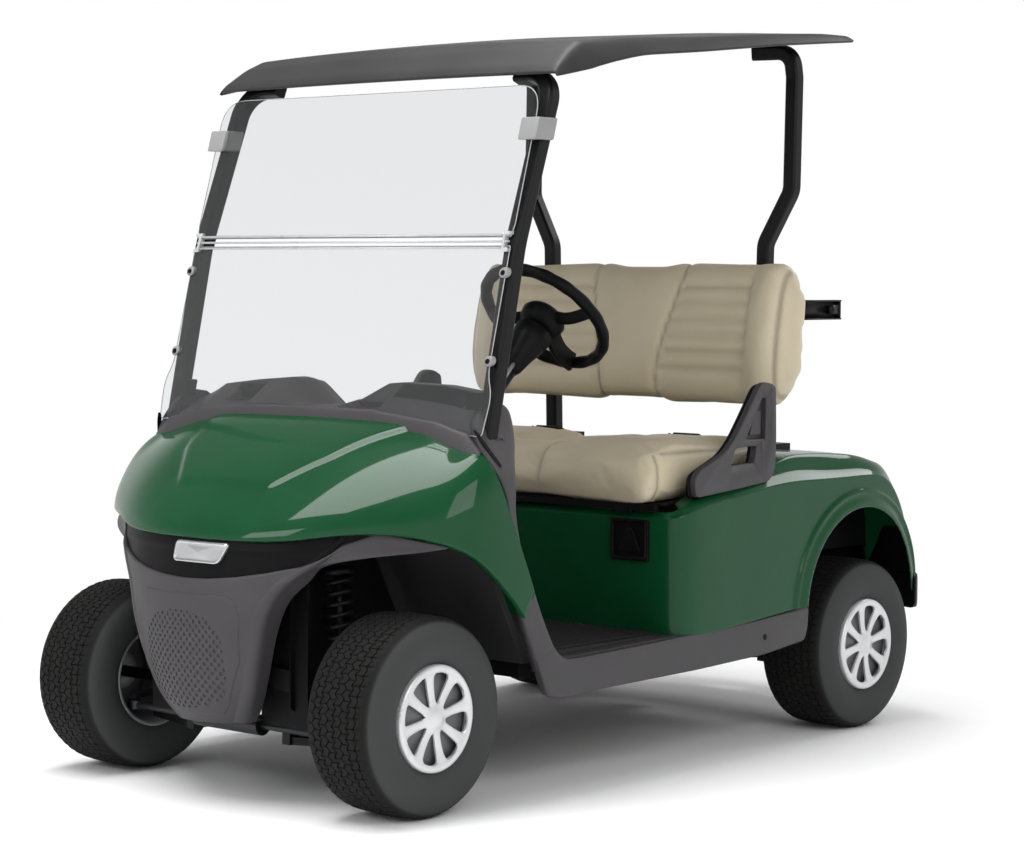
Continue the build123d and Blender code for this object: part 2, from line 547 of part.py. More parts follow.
def rear_section(y, side_inset, z_side, deck_inset, z_deck, inset=0.0, drop=0.0):
    """One cross-section of the rear body: upright side, a shoulder and a flat deck."""
    half_width = BODY_HALF_WIDTH - side_inset - inset
    x_deck = BODY_HALF_WIDTH - deck_inset - 0.6 * inset
    z_side, z_deck = z_side - 0.4 * inset, z_deck - inset
    z_low = REAR_LOW - drop
    outline = [(-half_width, z_low), (half_width, z_low), (half_width, z_side),
               (x_deck, z_deck), (-x_deck, z_deck), (-half_width, z_side)]
    return Plane.XZ.offset(-y) * make_face(Polyline(*outline, close=True))


def rear_solid(inset, drop, shift):
    """The rear body envelope as a solid."""
    sections = []
    last = len(REAR_STATIONS) - 1
    for index, station in enumerate(REAR_STATIONS):
        y_shift = shift if index == 0 else (-shift if index == last else 0)
        sections.append(rear_section(station[0] + y_shift, *station[1:], inset, drop))
    return loft(sections, ruled=True)


WELL_HALF = BODY_HALF_WIDTH - 168
WELL_FROM, WELL_TO = Y_REAR_AXLE - 65, Y_REAR_AXLE + 335
WELL_FLOOR = 474
POCKET_HALF = BODY_HALF_WIDTH - 68
POCKET_FRONT, POCKET_REAR = Y_REAR_AXLE - 865, Y_REAR_AXLE - 329
POCKET_FLOOR = 652
ARCH_CENTRE = (Y_REAR_AXLE - 30, 335)
ARCH_RADIUS = 265
FLARE_RADIUS = 315
FLARE_PROUD = 8
envelope = rear_solid(0, 0, 0)
pocket = block(-POCKET_HALF, POCKET_HALF, POCKET_FRONT, POCKET_REAR, POCKET_FLOOR, 900)
pocket_shell = block(-POCKET_HALF - SHELL_WALL, POCKET_HALF + SHELL_WALL, POCKET_FRONT,
                     POCKET_REAR + SHELL_WALL, POCKET_FLOOR - SHELL_WALL, 905)
cavity = rear_solid(SHELL_WALL, 30, SHELL_WALL) - pocket_shell
rear_body = envelope - cavity - pocket
rear_body -= block(-POCKET_HALF + 90, POCKET_HALF - 90, POCKET_FRONT + 100, POCKET_REAR - 31,
                   600, 900)
rear_body -= block(-WELL_HALF, WELL_HALF, WELL_FROM, WELL_TO, WELL_FLOOR, 900)
arch_cut = rod((WELL_HALF - 50, *ARCH_CENTRE), (BODY_HALF_WIDTH + 102, *ARCH_CENTRE),
               ARCH_RADIUS)
flare = rod((BODY_HALF_WIDTH - 22, *ARCH_CENTRE), (BODY_HALF_WIDTH + FLARE_PROUD, *ARCH_CENTRE),
            FLARE_RADIUS)
flare &= yz_plate(from_rear([(-365, REAR_LOW), (-365, 700), (135, 700), (195, 560),
                             (235, REAR_LOW)]), BODY_HALF_WIDTH - 30, BODY_HALF_WIDTH + 30)
rear_body += [flare, mirror(flare, about=Plane.YZ)]
rear_body -= [arch_cut, mirror(arch_cut, about=Plane.YZ)]
ROCKER_TOP_EDGE = [(-845, 317), (-736, 323), (-302, 355), (-260, 349), (-260, 200), (-845, 200)]
rocker_room = yz_plate([(y, z + SEAT_GAP) for y, z in from_rear(ROCKER_TOP_EDGE)],
                       rocker_inner - SEAT_GAP, BODY_HALF_WIDTH + 20)
rear_body -= [rocker_room, mirror(rocker_room, about=Plane.YZ)]
save(rear_body, "rear_body")

# black tray of the bag compartment
TRAY_WALL = 4
tray_half = WELL_HALF - SEAT_GAP
TRAY_FLOOR = 466
tray = block(-tray_half, tray_half, WELL_FROM + SEAT_GAP, WELL_TO - 10, TRAY_FLOOR, 740)
tray -= block(-tray_half + TRAY_WALL, tray_half - TRAY_WALL, WELL_FROM + TRAY_WALL, WELL_TO + 100,
              TRAY_FLOOR + TRAY_WALL, 900)
tray &= yz_plate(from_rear([(-75, 430), (-75, 738), (96, 702), (168, 650), (220, 590),
                            (255, 505), (265, TRAY_FLOOR)]), -BODY_HALF_WIDTH, BODY_HALF_WIDTH)
save(tray, "bag_tray")

# rear bumper
BUMPER_TOP = 400
BUMPER_BOTTOM = 300
BUMPER_HALF = BODY_HALF_WIDTH + 2


def bumper_level(inset):
    """Plan outline of the bumper: a shallow arc across the tail."""
    half, end_rear, end_front = BUMPER_HALF - inset, Y_TAIL - 125, Y_TAIL - 157
    edges = [
        ThreePointArc((-half, end_rear), (0, Y_TAIL - inset), (half, end_rear)),
        Line((half, end_rear), (half, end_front)),
        ThreePointArc((half, end_front), (0, Y_TAIL - 60 - inset), (-half, end_front)),
        Line((-half, end_front), (-half, end_rear)),
    ]
    return make_face(edges)


bumper = extrude(Plane.XY.offset(BUMPER_BOTTOM) * bumper_level(0), BUMPER_TOP - BUMPER_BOTTOM)
bumper -= rear_solid(-SEAT_GAP, 60, -SEAT_GAP)
save(bumper, "rear_bumper")

# charging socket plate on the seat front
SEAT_FRONT = REAR_STATIONS[0][0]
save(block(372, 496, SEAT_FRONT - 10, SEAT_FRONT - SEAT_GAP, 512, 606), "charge_port")

# ---------------------------------------------------------------- seat
SEAT_MARGIN = 10
SEAT_HALF = POCKET_HALF - SEAT_MARGIN
BOARD_BOTTOM = POCKET_FLOOR + SEAT_GAP
BOARD_THICKNESS = 13
HINGE_PIN = (Y_REAR_AXLE - 335, 784)
HINGE_RADIUS = 5
HINGE_X = (200, 280)
board_rear = HINGE_PIN[0] - 5
seat_board = block(-SEAT_HALF + 30, SEAT_HALF - 30, SEAT_FRONT + 2, board_rear, BOARD_BOTTOM,
                   BOARD_BOTTOM + BOARD_THICKNESS)
hinge_strap = block(*HINGE_X, board_rear - 6, board_rear, BOARD_BOTTOM, HINGE_PIN[1])
hinge_strap += rod((HINGE_X[0], *HINGE_PIN), (HINGE_X[1], *HINGE_PIN), HINGE_RADIUS + 6)
hinge_strap -= rod((0, *HINGE_PIN), (500, *HINGE_PIN), HINGE_RADIUS + SEAT_GAP)
seat_board += [hinge_strap, mirror(hinge_strap, about=Plane.YZ)]
save(seat_board, "seat_board")
cushion_low = BOARD_BOTTOM + BOARD_THICKNESS + SEAT_GAP
cushion_outline = [
    (-860, 660), (-865, 720), (-825, 782), (-705, 800), (-415, 792), (-361, 765),
    (-353, 700), (-360, cushion_low), (-835, cushion_low), (-835, 660),
]
save(yz_plate(from_rear(cushion_outline), -SEAT_HALF, SEAT_HALF), "seat_cushion")

hinge_ear = yz_plate([(HINGE_PIN[0] - 9, HINGE_PIN[1] + 9), (HINGE_PIN[0] - 9, HINGE_PIN[1] - 9),
                      (HINGE_PIN[0] + 15, 769.5), (HINGE_PIN[0] + 50, 764),
                      (HINGE_PIN[0] + 50, 772)], HINGE_X[0] - 14, HINGE_X[0] - 8)
seat_hinge = Part() + [hinge_ear, Pos(HINGE_X[1] - HINGE_X[0] + 22, 0, 0) * hinge_ear]
seat_hinge += rod((HINGE_X[0] - 14, *HINGE_PIN), (HINGE_X[1] + 14, *HINGE_PIN), HINGE_RADIUS)
seat_hinge -= envelope
save(both_sides(seat_hinge), "seat_hinges")

BACK_HALF = POCKET_HALF + 10
BACK_REAR = from_rear([(-265, 900), (-225, 1100), (-205, 1226)])  # (y, z) rear face, upward
back_front = [(-340, 876), (-360, 930), (-345, 1060), (-313, 1200), (-285, 1246), (-235, 1254)]
back_outline = [*from_rear(back_front), *reversed(BACK_REAR), (Y_REAR_AXLE - 295, 868)]
save(yz_plate(back_outline, -BACK_HALF, BACK_HALF), "seat_back")

REAR_STRUT_Y = Y_REAR_AXLE - 165
bracket_back = REAR_STRUT_Y - STRUT_SIZE / 2 - SEAT_GAP
back_bracket = yz_plate([(REAR_STRUT_Y - 110, 905), (REAR_STRUT_Y - 100, 1190), (bracket_back, 1190),
                         (bracket_back, 905)], 344, 378)
BACK_PLATE_THICKNESS = 6
cross_plate = yz_plate(BACK_REAR
                       + [(y + BACK_PLATE_THICKNESS + SEAT_GAP, z)
                          for y, z in reversed(BACK_REAR)], -378, 378)
cross_plate &= block(-400, 400, REAR_STRUT_Y - 200, REAR_STRUT_Y + 100, 905, 1190)
seat_back_frame = back_bracket + cross_plate + mirror(back_bracket, about=Plane.YZ)
seat_back_frame -= Pos(0, SEAT_GAP, 0) * yz_plate(back_outline, -BACK_HALF, BACK_HALF)
save(seat_back_frame, "seat_back_frame")

RESTRAINT_OUTLINE = [
    (-743, 711), (-735, 640), (-365, 660), (-365, 760), (-373, 935), (-411, 942),
    (-428, 938), (-472, 911), (-534, 799), (-611, 772), (-703, 720),
]
RESTRAINT_X = BACK_HALF + 16
restraint = yz_plate(from_rear(RESTRAINT_OUTLINE), RESTRAINT_X, RESTRAINT_X + 26)
restraint -= yz_plate(from_rear([(-480, 800), (-415, 780), (-410, 880), (-440, 885)]),
                      RESTRAINT_X - 5, RESTRAINT_X + 40)
restraint -= rear_solid(-SEAT_GAP, 0, -SEAT_GAP)
save(both_sides(restraint), "hip_restraints")

# ---------------------------------------------------------------- roof
ROOF_FRONT = from_front([  # y, inset of side, z of lip, inset of top, z of top edge and crown
    (399, 36, 1672, 48, 1690, 1696),
    (505, 24, 1692, 78, 1756, 1766),
    (697, 20, 1737, 66, 1774, 1790),
])
ROOF_TAIL = from_rear([
    (-734, 20, 1761, 58, 1792, 1812),
    (-394, 26, 1800, 58, 1822, 1842),
    (-40, 38, 1835, 58, 1848, 1860),
])
ROOF_STATIONS = ROOF_FRONT + ROOF_TAIL


def roof_section(y, side_inset, z_lip, top_inset, z_edge, z_crown, drop=0.0, inset=0.0):
    """One cross-section of the roof: sloping lips and a crowned top."""
    half_width = BODY_HALF_WIDTH - side_inset - inset
    half_top = BODY_HALF_WIDTH - top_inset - inset
    z_edge, z_crown = z_edge - inset, z_crown - inset
    z_lip = z_lip - drop
    edges = [
        Line((-half_width, z_lip), (half_width, z_lip)),
        Line((half_width, z_lip), (half_top, z_edge)),
        ThreePointArc((half_top, z_edge), (0, z_crown), (-half_top, z_edge)),
        Line((-half_top, z_edge), (-half_width, z_lip)),
    ]
    return Plane.XZ.offset(-y) * make_face(edges)


def roof_solid(inset, drop, shift):
    """The roof envelope as a solid."""
    sections = []
    last = len(ROOF_STATIONS) - 1
    for index, station in enumerate(ROOF_STATIONS):
        y_shift = 2 * shift if index == 0 else (-shift if index == last else 0)
        sections.append(roof_section(station[0] + y_shift, *station[1:], drop, inset))
    return loft(sections, ruled=True)


roof = roof_solid(0, 0, 0) - roof_solid(ROOF_WALL, 2 * ROOF_WALL, ROOF_WALL)
save(roof, "roof")
under_roof = roof_solid(ROOF_WALL + SEAT_GAP, 0, ROOF_WALL + SEAT_GAP)

# ---------------------------------------------------------------- struts
strut_section = RectangleRounded(STRUT_SIZE, STRUT_SIZE, STRUT_CORNER)
FRONT_STRUT_X = BODY_HALF_WIDTH - 75
FRONT_STRUT = [  # x, y, z
    (FRONT_STRUT_X, Y_FRONT_AXLE + 189, 762), (FRONT_STRUT_X, Y_FRONT_AXLE + 303, 1285),
    (FRONT_STRUT_X - 7, Y_FRONT_AXLE + 447, 1680), (FRONT_STRUT_X - 123, Y_FRONT_AXLE + 453, 1680),
]
front_strut = bent_bar(FRONT_STRUT, [400, 75], strut_section)
ROOF_PAD_LENGTH = 60
top_x, top_y, top_z = FRONT_STRUT[-1]
front_strut += under_roof & block(top_x, top_x + ROOF_PAD_LENGTH, top_y - STRUT_SIZE / 2,
                                  top_y + STRUT_SIZE / 2, top_z, top_z + 100)
save(both_sides(front_strut), "front_struts")
room_size = STRUT_SIZE + 2 * SEAT_GAP
room_path = Line(FRONT_STRUT[0], FRONT_STRUT[1])
strut_room = sweep(Plane(origin=room_path @ 0, z_dir=room_path % 0)
                   * RectangleRounded(room_size, room_size, STRUT_CORNER), path=room_path)
dash -= [strut_room, mirror(strut_room, about=Plane.YZ)]
REAR_STRUT = [
    (358, REAR_STRUT_Y, 700), (371, REAR_STRUT_Y, 1300), (449, REAR_STRUT_Y + 6, 1440),
    (450, REAR_STRUT_Y + 12, 1740), (446, REAR_STRUT_Y + 4, 1806), (330, REAR_STRUT_Y, 1808),
]
rear_strut = bent_bar(REAR_STRUT, [60, 60, 60, 40], strut_section)
top_x, top_y, top_z = REAR_STRUT[-1]
rear_strut += under_roof & block(top_x, top_x + ROOF_PAD_LENGTH, top_y - STRUT_SIZE / 2,
                                 top_y + STRUT_SIZE / 2, top_z, top_z + 100)
foot_front, foot_rear = REAR_STRUT_Y - 40, REAR_STRUT_Y + 90
rear_strut += block(322, 396, foot_front, foot_rear, 700, 764)
rear_strut -= rear_solid(-SEAT_GAP, 0, -SEAT_GAP)
save(both_sides(rear_strut), "rear_struts")

# bag rack behind the seat back
RACK_Y = REAR_STRUT_Y + 300
bag_rack = rod((-400, RACK_Y, 1125), (400, RACK_Y, 1125), 12)
for side in (1, -1):
    bag_rack += block(min(side * 340, side * 400), max(side * 340, side * 400),
                      REAR_STRUT_Y + STRUT_SIZE / 2 + SEAT_GAP, RACK_Y + 5, 1096, 1146)
save(bag_rack, "bag_rack")

# ---------------------------------------------------------------- windshield
PANE_LINE = from_front([(163, 844), (276, 1285), (375, 1628)])  # (y, z) foot, hinge, top
PANE_HALF = FRONT_STRUT_X + 7
PANE_REST = 12


def pane(low, high, gap_low, gap_high):
    """A flat clear sheet between two (y, z) points, kept short of them by the gaps."""
    run = Vector(0, high[0] - low[0], high[1] - low[1])
    along = run.normalized()
    start = Vector(0, *low) + along * gap_low
    length = run.length - gap_low - gap_high
    plane = Plane(origin=start + along * length / 2, x_dir=(1, 0, 0), z_dir=along)
    return plane * Box(2 * PANE_HALF, PANE_THICKNESS, length)


HINGE_BAR_RADIUS = 5.5
lower_pane = pane(PANE_LINE[0], PANE_LINE[1], 0, HINGE_BAR_RADIUS + SEAT_GAP)
lower_pane -= hood_solid(-PANE_REST, 0, -PANE_REST)
foot_half = PANE_HALF - 30
lower_pane -= xz_plate([(-foot_half, 800), (-foot_half, 884), (0, 896), (foot_half, 884),
                        (foot_half, 800)], Y_FRONT_AXLE + 105, Y_FRONT_AXLE + 205)
upper_pane = pane(PANE_LINE[1], PANE_LINE[2], HINGE_BAR_RADIUS + SEAT_GAP, 0)
save(lower_pane, "windshield_lower")
save(upper_pane, "windshield_upper")
hinge_bar = rod((-PANE_HALF, *PANE_LINE[1]), (PANE_HALF, *PANE_LINE[1]), HINGE_BAR_RADIUS)
save(hinge_bar, "windshield_hinge")
dash -= pane(PANE_LINE[0], PANE_LINE[1], -60, 0) + Pos(0, -4, 0) * pane(
    PANE_LINE[0], PANE_LINE[1], -60, 0)
dash -= hood_solid(-SEAT_GAP, 0, -SEAT_GAP)
save(dash, "dash")

# clamps between the panes and the front struts
CLIP_LEVELS = [1018, 1219, 1575]  # heights on the pane
CLIP_X = FRONT_STRUT_X - 9
CLIP_RADIUS = 9


def height_on(line, z):
    """y at height z on a path of (y, z) points."""
    for (y_low, z_low), (y_high, z_high) in zip(line, line[1:]):
        if z <= z_high:
            break
    return y_low + (y_high - y_low) * (z - z_low) / (z_high - z_low)


strut_line = [(point[1], point[2]) for point in FRONT_STRUT[:3]]
clips = Part()
for clip_z in CLIP_LEVELS:
    pane_y = height_on(PANE_LINE, clip_z)
    clips += rod((CLIP_X, pane_y + SEAT_GAP, clip_z), (CLIP_X, height_on(strut_line, clip_z), clip_z),
                 CLIP_RADIUS)
clips -= Pos(0, SEAT_GAP, 0) * (lower_pane + upper_pane)
clips -= front_strut
save(both_sides(clips), "windshield_clips")
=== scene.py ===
"""Looks of the two-seat golf cart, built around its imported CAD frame.

Metres, +Z up, the nose of the cart points along -Y and its left (driver's) side is +X. Each
new piece is a surface worked out with numpy: a table of stations carried through a smooth
spline, or a profile carried along a path.
"""
import math

import bpy
import numpy as np
from mathutils import Matrix


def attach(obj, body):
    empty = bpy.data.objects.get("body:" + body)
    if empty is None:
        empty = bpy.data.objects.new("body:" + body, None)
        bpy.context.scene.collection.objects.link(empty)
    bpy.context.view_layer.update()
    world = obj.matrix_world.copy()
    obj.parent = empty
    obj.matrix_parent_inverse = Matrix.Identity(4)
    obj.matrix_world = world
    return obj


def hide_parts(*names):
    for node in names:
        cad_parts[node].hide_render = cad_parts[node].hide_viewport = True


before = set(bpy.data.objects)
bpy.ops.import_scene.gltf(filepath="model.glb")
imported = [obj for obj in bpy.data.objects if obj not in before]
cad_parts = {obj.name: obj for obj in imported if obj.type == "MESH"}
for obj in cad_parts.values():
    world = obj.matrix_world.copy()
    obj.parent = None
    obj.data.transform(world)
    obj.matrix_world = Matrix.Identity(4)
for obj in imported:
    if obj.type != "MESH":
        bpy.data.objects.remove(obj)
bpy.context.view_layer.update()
MM = 0.001
FRONT_AXLE_Y, REAR_AXLE_Y, AXLE_HEIGHT = -905, 765, 228  # mm


# ------------------------------------------------------------------ curves and surfaces
def spline(knots, values, where):
    """Natural cubic spline through values (rows) at increasing knots, read at where."""
    x, v = np.asarray(knots, float), np.asarray(values, float)
    flat = v.reshape(len(x), -1)
    n, h = len(x), np.diff(x)
    if n == 2:
        second = np.zeros_like(flat)
    else:
        band = np.zeros((n, n))
        right = np.zeros_like(flat)
        band[0, 0] = band[-1, -1] = 1
        inner = np.arange(1, n - 1)
        band[inner, inner - 1] = h[:-1]
        band[inner, inner] = 2 * (h[:-1] + h[1:])
        band[inner, inner + 1] = h[1:]
        slope = np.diff(flat, axis=0) / h[:, None]
        right[1:-1] = 6 * np.diff(slope, axis=0)
        second = np.linalg.solve(band, right)
    t = np.asarray(where, float)
    k = np.clip(np.searchsorted(x, t) - 1, 0, n - 2)
    a, b, span = (x[k + 1] - t)[:, None], (t - x[k])[:, None], h[k][:, None]
    out = (second[k] * a ** 3 + second[k + 1] * b ** 3) / (6 * span)
    out += (flat[k] / span - second[k] * span / 6) * a
    out += (flat[k + 1] / span - second[k + 1] * span / 6) * b
    return out.reshape(len(t), *v.shape[1:])


def through(points, count):
    """count points, even in chord length, on the smooth curve through the given points."""
    p = np.asarray(points, float)
    flat = p.reshape(len(p), -1)
    chord = np.r_[0, np.cumsum(np.linalg.norm(np.diff(flat, axis=0), axis=1))]
    return spline(chord, p, np.linspace(0, chord[-1], count))


def linear_at(knots, values, where):
    """Straight interpolation of a table's rows."""
    v = np.asarray(values, float)
    columns = [np.interp(where, knots, column) for column in v.reshape(len(v), -1).T]
    return np.stack(columns, -1).reshape(len(where), *v.shape[1:])


def rounded(points, radius, steps=5):
    """A closed outline with each corner swapped for a quadratic arc that starts radius away."""
    p = np.asarray(points, float)
    reach = np.broadcast_to(np.asarray(radius, float), (len(p),))[:, None]
    before, after = np.roll(p, 1, 0) - p, np.roll(p, -1, 0) - p
    run_b = np.linalg.norm(before, axis=1, keepdims=True)
    run_a = np.linalg.norm(after, axis=1, keepdims=True)
    start = p + before * np.minimum(reach / run_b, 0.48)
    end = p + after * np.minimum(reach / run_a, 0.48)
    t = np.linspace(0, 1, steps)[None, :, None]
    arc = (1 - t) ** 2 * start[:, None] + 2 * t * (1 - t) * p[:, None] + t ** 2 * end[:, None]
    return arc.reshape(-1, p.shape[1])


def smooth(edge_low, edge_high, x):
    """Smooth step from 0 at edge_low to 1 at edge_high."""
    t = np.clip((np.asarray(x, float) - edge_low) / (edge_high - edge_low), 0, 1)
    return t * t * (3 - 2 * t)


# ------------------------------------------------------------------ meshes
def grid_faces(rows, columns, wrap_rows=False, wrap_columns=False):
    """Quads of a grid of points, as indices."""
    r = np.arange(rows if wrap_rows else rows - 1)[:, None]
    c = np.arange(columns if wrap_columns else columns - 1)[None, :]
    r2, c2 = (r + 1) % rows, (c + 1) % columns
    quads = np.stack([r * columns + c, r * columns + c2, r2 * columns + c2, r2 * columns + c], -1)
    return quads.reshape(-1, 4)


def closed_faces(rows, columns):
    """Faces of a grid whose columns wrap, with its first and its last ring filled."""
    ring = np.arange(columns)
    return [grid_faces(rows, columns, False, True), ring[None, ::-1],
            ((rows - 1) * columns + ring)[None]]


def placed(name, data):
    """A new object in the scene."""
    made = bpy.data.objects.new(name, data)
    bpy.context.scene.collection.objects.link(made)
    return made


def piece(name, vertices, faces, material, body="chassis", slot=None, flat=False):
    """A mesh piece in millimetres that rides on a body. faces is a list of index arrays."""
    mesh = bpy.data.meshes.new(name)
    blocks = faces if isinstance(faces, list) else [faces]
    polygons = [row for block in blocks for row in np.asarray(block).tolist()]
    mesh.from_pydata((np.asarray(vertices, float).reshape(-1, 3) * MM).tolist(), [], polygons)
    mesh.update()
    mesh.shade_flat() if flat else mesh.shade_smooth()
    made = placed(name, mesh)
    mesh.materials.append(material)
    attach(made, body)
    return made


def surface(name, grid, material, wrap=(False, False), **facts):
    """A piece from a grid of points."""
    g = np.asarray(grid, float)
    return piece(name, g, grid_faces(g.shape[0], g.shape[1], *wrap), material, **facts)


def tone_points(obj, values):
    """Writes each point's share of the tone that a toned finish goes over to."""
    tone = obj.data.attributes.new("tone", "FLOAT", "POINT")
    tone.data.foreach_set("value", values.ravel())


def merged(parts):
    """Several (vertices, faces) pairs as one."""
    vertices, faces, base = [], [], 0
    for v, f in parts:
        v = np.asarray(v, float).reshape(-1, 3)
        vertices.append(v)
        for block in (f if isinstance(f, list) else [f]):
            faces.append(np.asarray(block) + base)
        base += len(v)
    return np.concatenate(vertices), faces


def mirrored(part):
    """A (vertices, faces) pair and its mirror image about the middle plane, faces turned."""
    v, f = part
    v = np.asarray(v, float).reshape(-1, 3)
    blocks = f if isinstance(f, list) else [f]
    flipped = [np.asarray(block)[:, ::-1] for block in blocks]
    return merged([(v, blocks), (v * (-1, 1, 1), flipped)])


def tube(path, radius, sides=16, closed=False):
    """A round (or, with radius = (half width, half height, corner), rounded square) section
    carried along a path: each ring stands square to the path and doesn't twist."""
    p = np.asarray(path, float)
    if closed:
        tangent = np.roll(p, -1, 0) - np.roll(p, 1, 0)
    else:
        tangent = np.gradient(p, axis=0)
    tangent /= np.linalg.norm(tangent, axis=1, keepdims=True)
    up = np.array([1.0, 0, 0]) if abs(tangent[0, 0]) < 0.9 else np.array([0, 0, 1.0])
    first = np.empty_like(p)
    for i, t in enumerate(tangent):
        up = up - t * (up @ t)
        up = up / np.linalg.norm(up)
        first[i] = up
    second = np.cross(tangent, first)
    if np.ndim(radius) == 0 or len(np.shape(radius)) == 1 and len(radius) == len(p):
        angle = np.linspace(0, 2 * math.pi, sides, endpoint=False)
        r = np.broadcast_to(np.asarray(radius, float), (len(p),))[:, None, None]
        ring = np.stack([np.cos(angle), np.sin(angle)], -1)[None] * r
    else:
        w, h, corner = radius
        ring = rounded([(-w, -h), (w, -h), (w, h), (-w, h)], corner, 4)[None]
    grid = p[:, None] + first[:, None] * ring[..., :1] + second[:, None] * ring[..., 1:]
    rows, columns = grid.shape[:2]
    faces = grid_faces(rows, columns, True, True) if closed else closed_faces(rows, columns)
    return grid.reshape(-1, 3), faces


def plate(outline, low, high, axis="x", chamfer=0.0):
    """An outline extruded along an axis from low to high, its rim a quarter round of radius
    chamfer. The outline's points are (y, z) for x, (x, z) for y and (x, y) for z."""
    o = np.asarray(outline, float)
    area = np.sum(o[:, 0] * np.roll(o[:, 1], -1) - np.roll(o[:, 0], -1) * o[:, 1])
    if area < 0:
        o = o[::-1]
    edge = np.roll(o, -1, 0) - np.roll(o, 1, 0)
    edge /= np.linalg.norm(edge, axis=1, keepdims=True) + 1e-9
    inward = np.stack([-edge[:, 1], edge[:, 0]], -1)
    turns = np.linspace(0, math.pi / 2, 5 if chamfer else 1)
    arc = [(o + inward * chamfer * (1 - math.cos(t)), chamfer * (1 - math.sin(t))) for t in turns]
    levels = [(ring, low + depth) for ring, depth in arc[::-1]]
    levels += [(ring, high - depth) for ring, depth in arc]
    rings = [np.insert(ring, "xyz".index(axis), level, axis=1) for ring, level in levels]
    faces = closed_faces(len(levels), len(o))
    if axis == "y":
        faces = [block[:, ::-1] for block in faces]
    return np.concatenate(rings), faces


def rect(left, low, right, high):
    """The corners of an upright rectangle."""
    return [(left, low), (right, low), (right, high), (left, high)]


def thickened(obj, thickness, offset=-1.0):
    """Gives a sheet a wall, in millimetres, on the side away from its normals."""
    wall = obj.modifiers.new("wall", "SOLIDIFY")
    wall.thickness, wall.offset = thickness * MM, offset
    wall.use_even_offset = False
    return obj


# ------------------------------------------------------------------ materials
def linear(colour):
    """An sRGB hex colour as linear RGBA."""
    c = np.array([int(colour[i:i + 2], 16) for i in (1, 3, 5)]) / 255
    return (*np.where(c <= 0.04045, c / 12.92, ((c + 0.055) / 1.055) ** 2.4), 1.0)


def add(tree, kind, settings=(), inputs=()):
    """Adds one shader node; an input given as (node, output name) is linked, others are set."""
    made = tree.nodes.new("ShaderNode" + kind)
    for key, value in dict(settings).items():
        setattr(made, key, value)
    for key, value in dict(inputs).items():
        if isinstance(value, tuple) and isinstance(value[0], bpy.types.Node):
            tree.links.new(value[0].outputs[value[1]], made.inputs[key])
        else:
            made.inputs[key].default_value = value
    return made


def blank(name):
    """A new node material with only its output."""
    made = bpy.data.materials.new(name)
    made.use_nodes = True
    made.node_tree.nodes.clear()
    return made, made.node_tree, made.node_tree.nodes.new("ShaderNodeOutputMaterial")


def grained(name, colour, dark, roughness, grain_mm, depth_mm, shader=(), rough_range=0.08,
            patch_mm=180.0, kind="NOISE"):
    """A moulded, coated or painted finish: a patchy tone between two colours, roughness that
    varies a little with it, and a fine grain as bump. grain_mm is the size of one grain."""
    made, tree, out = blank(name)
    place = add(tree, "TexCoord")
    patch = add(tree, "TexNoise", inputs={"Vector": (place, "Object"), "Scale": 1000 / patch_mm,
                                          "Detail": 4.0, "Roughness": 0.6})
    tone = add(tree, "MapRange", inputs={"Value": (patch, "Fac"), "From Min": 0.3,
                                         "From Max": 0.7})
    mix = add(tree, "Mix", {"data_type": "RGBA"})
    tree.links.new(tone.outputs["Result"], mix.inputs["Factor"])
    mix.inputs[6].default_value, mix.inputs[7].default_value = linear(dark), linear(colour)
    rough = add(tree, "MapRange", inputs={"Value": (patch, "Fac"), "From Min": 0.3,
                                          "From Max": 0.7, "To Min": roughness - rough_range / 2,
                                          "To Max": roughness + rough_range / 2})
    if kind == "VORONOI":
        grain = add(tree, "TexVoronoi", inputs={"Vector": (place, "Object"),
                                                "Scale": 1000 / grain_mm})
        height = (grain, "Distance")
    else:
        grain = add(tree, "TexNoise", inputs={"Vector": (place, "Object"),
                                              "Scale": 1000 / grain_mm, "Detail": 2.0})
        height = (grain, "Fac")
    bump = add(tree, "Bump", inputs={"Height": height, "Distance": depth_mm * MM,
                                     "Strength": 1.0})
    surface_node = add(tree, "BsdfPrincipled", inputs={
        "Roughness": (rough, "Result"), "Normal": (bump, "Normal"), **dict(shader)})
    tree.links.new(mix.outputs[2], surface_node.inputs["Base Color"])
    tree.links.new(surface_node.outputs["BSDF"], out.inputs["Surface"])
    return made


# Acrylic clear-coated paint on moulded body panels: a deep even green under a glassy coat.
green_clearcoat = grained("GreenClearcoat", "#0c4426", "#0a3f22", 0.42, 3.0, 0.004,
                          {"Coat Weight": 0.5, "Coat Roughness": 0.05, "Coat IOR": 1.5,
                           "IOR": 1.45, "Specular IOR Level": 0.05})
# Moulded thermoplastic with a fine leather-like grain: satin charcoal.
charcoal_tpo = grained("CharcoalMouldedPlastic", "#3f3d3f", "#393739", 0.5, 1.1, 0.035,
                       {"IOR": 1.42})
# The same plastic in near black, less grained: nose band, liners, trays.
black_abs = grained("BlackMouldedPlastic", "#0f0f10", "#0b0b0c", 0.46, 1.2, 0.02,
                   {"IOR": 1.33, "Specular IOR Level": 0.18})
# Satin powder coat on steel tube: dark, with the faint orange peel of a baked coat.
powder_coat = grained("BlackPowderCoat", "#121213", "#0e0e0f", 0.42, 2.2, 0.018,
                      {"IOR": 1.4, "Specular IOR Level": 0.25})
# Carbon-filled tyre rubber: matte dark grey that lightens with dust.
tyre_rubber = grained("TyreRubber", "#191918", "#131313", 0.74, 1.6, 0.05,
                      {"IOR": 1.38, "Specular IOR Level": 0.25}, patch_mm=60)
# Silver paint on ABS wheel covers: fine flake under lacquer.
silver_paint = grained("SilverLacquer", "#d4d5d6", "#cbccce", 0.3, 0.8, 0.004,
                       {"Metallic": 0.45, "Coat Weight": 0.6, "Coat Roughness": 0.08})
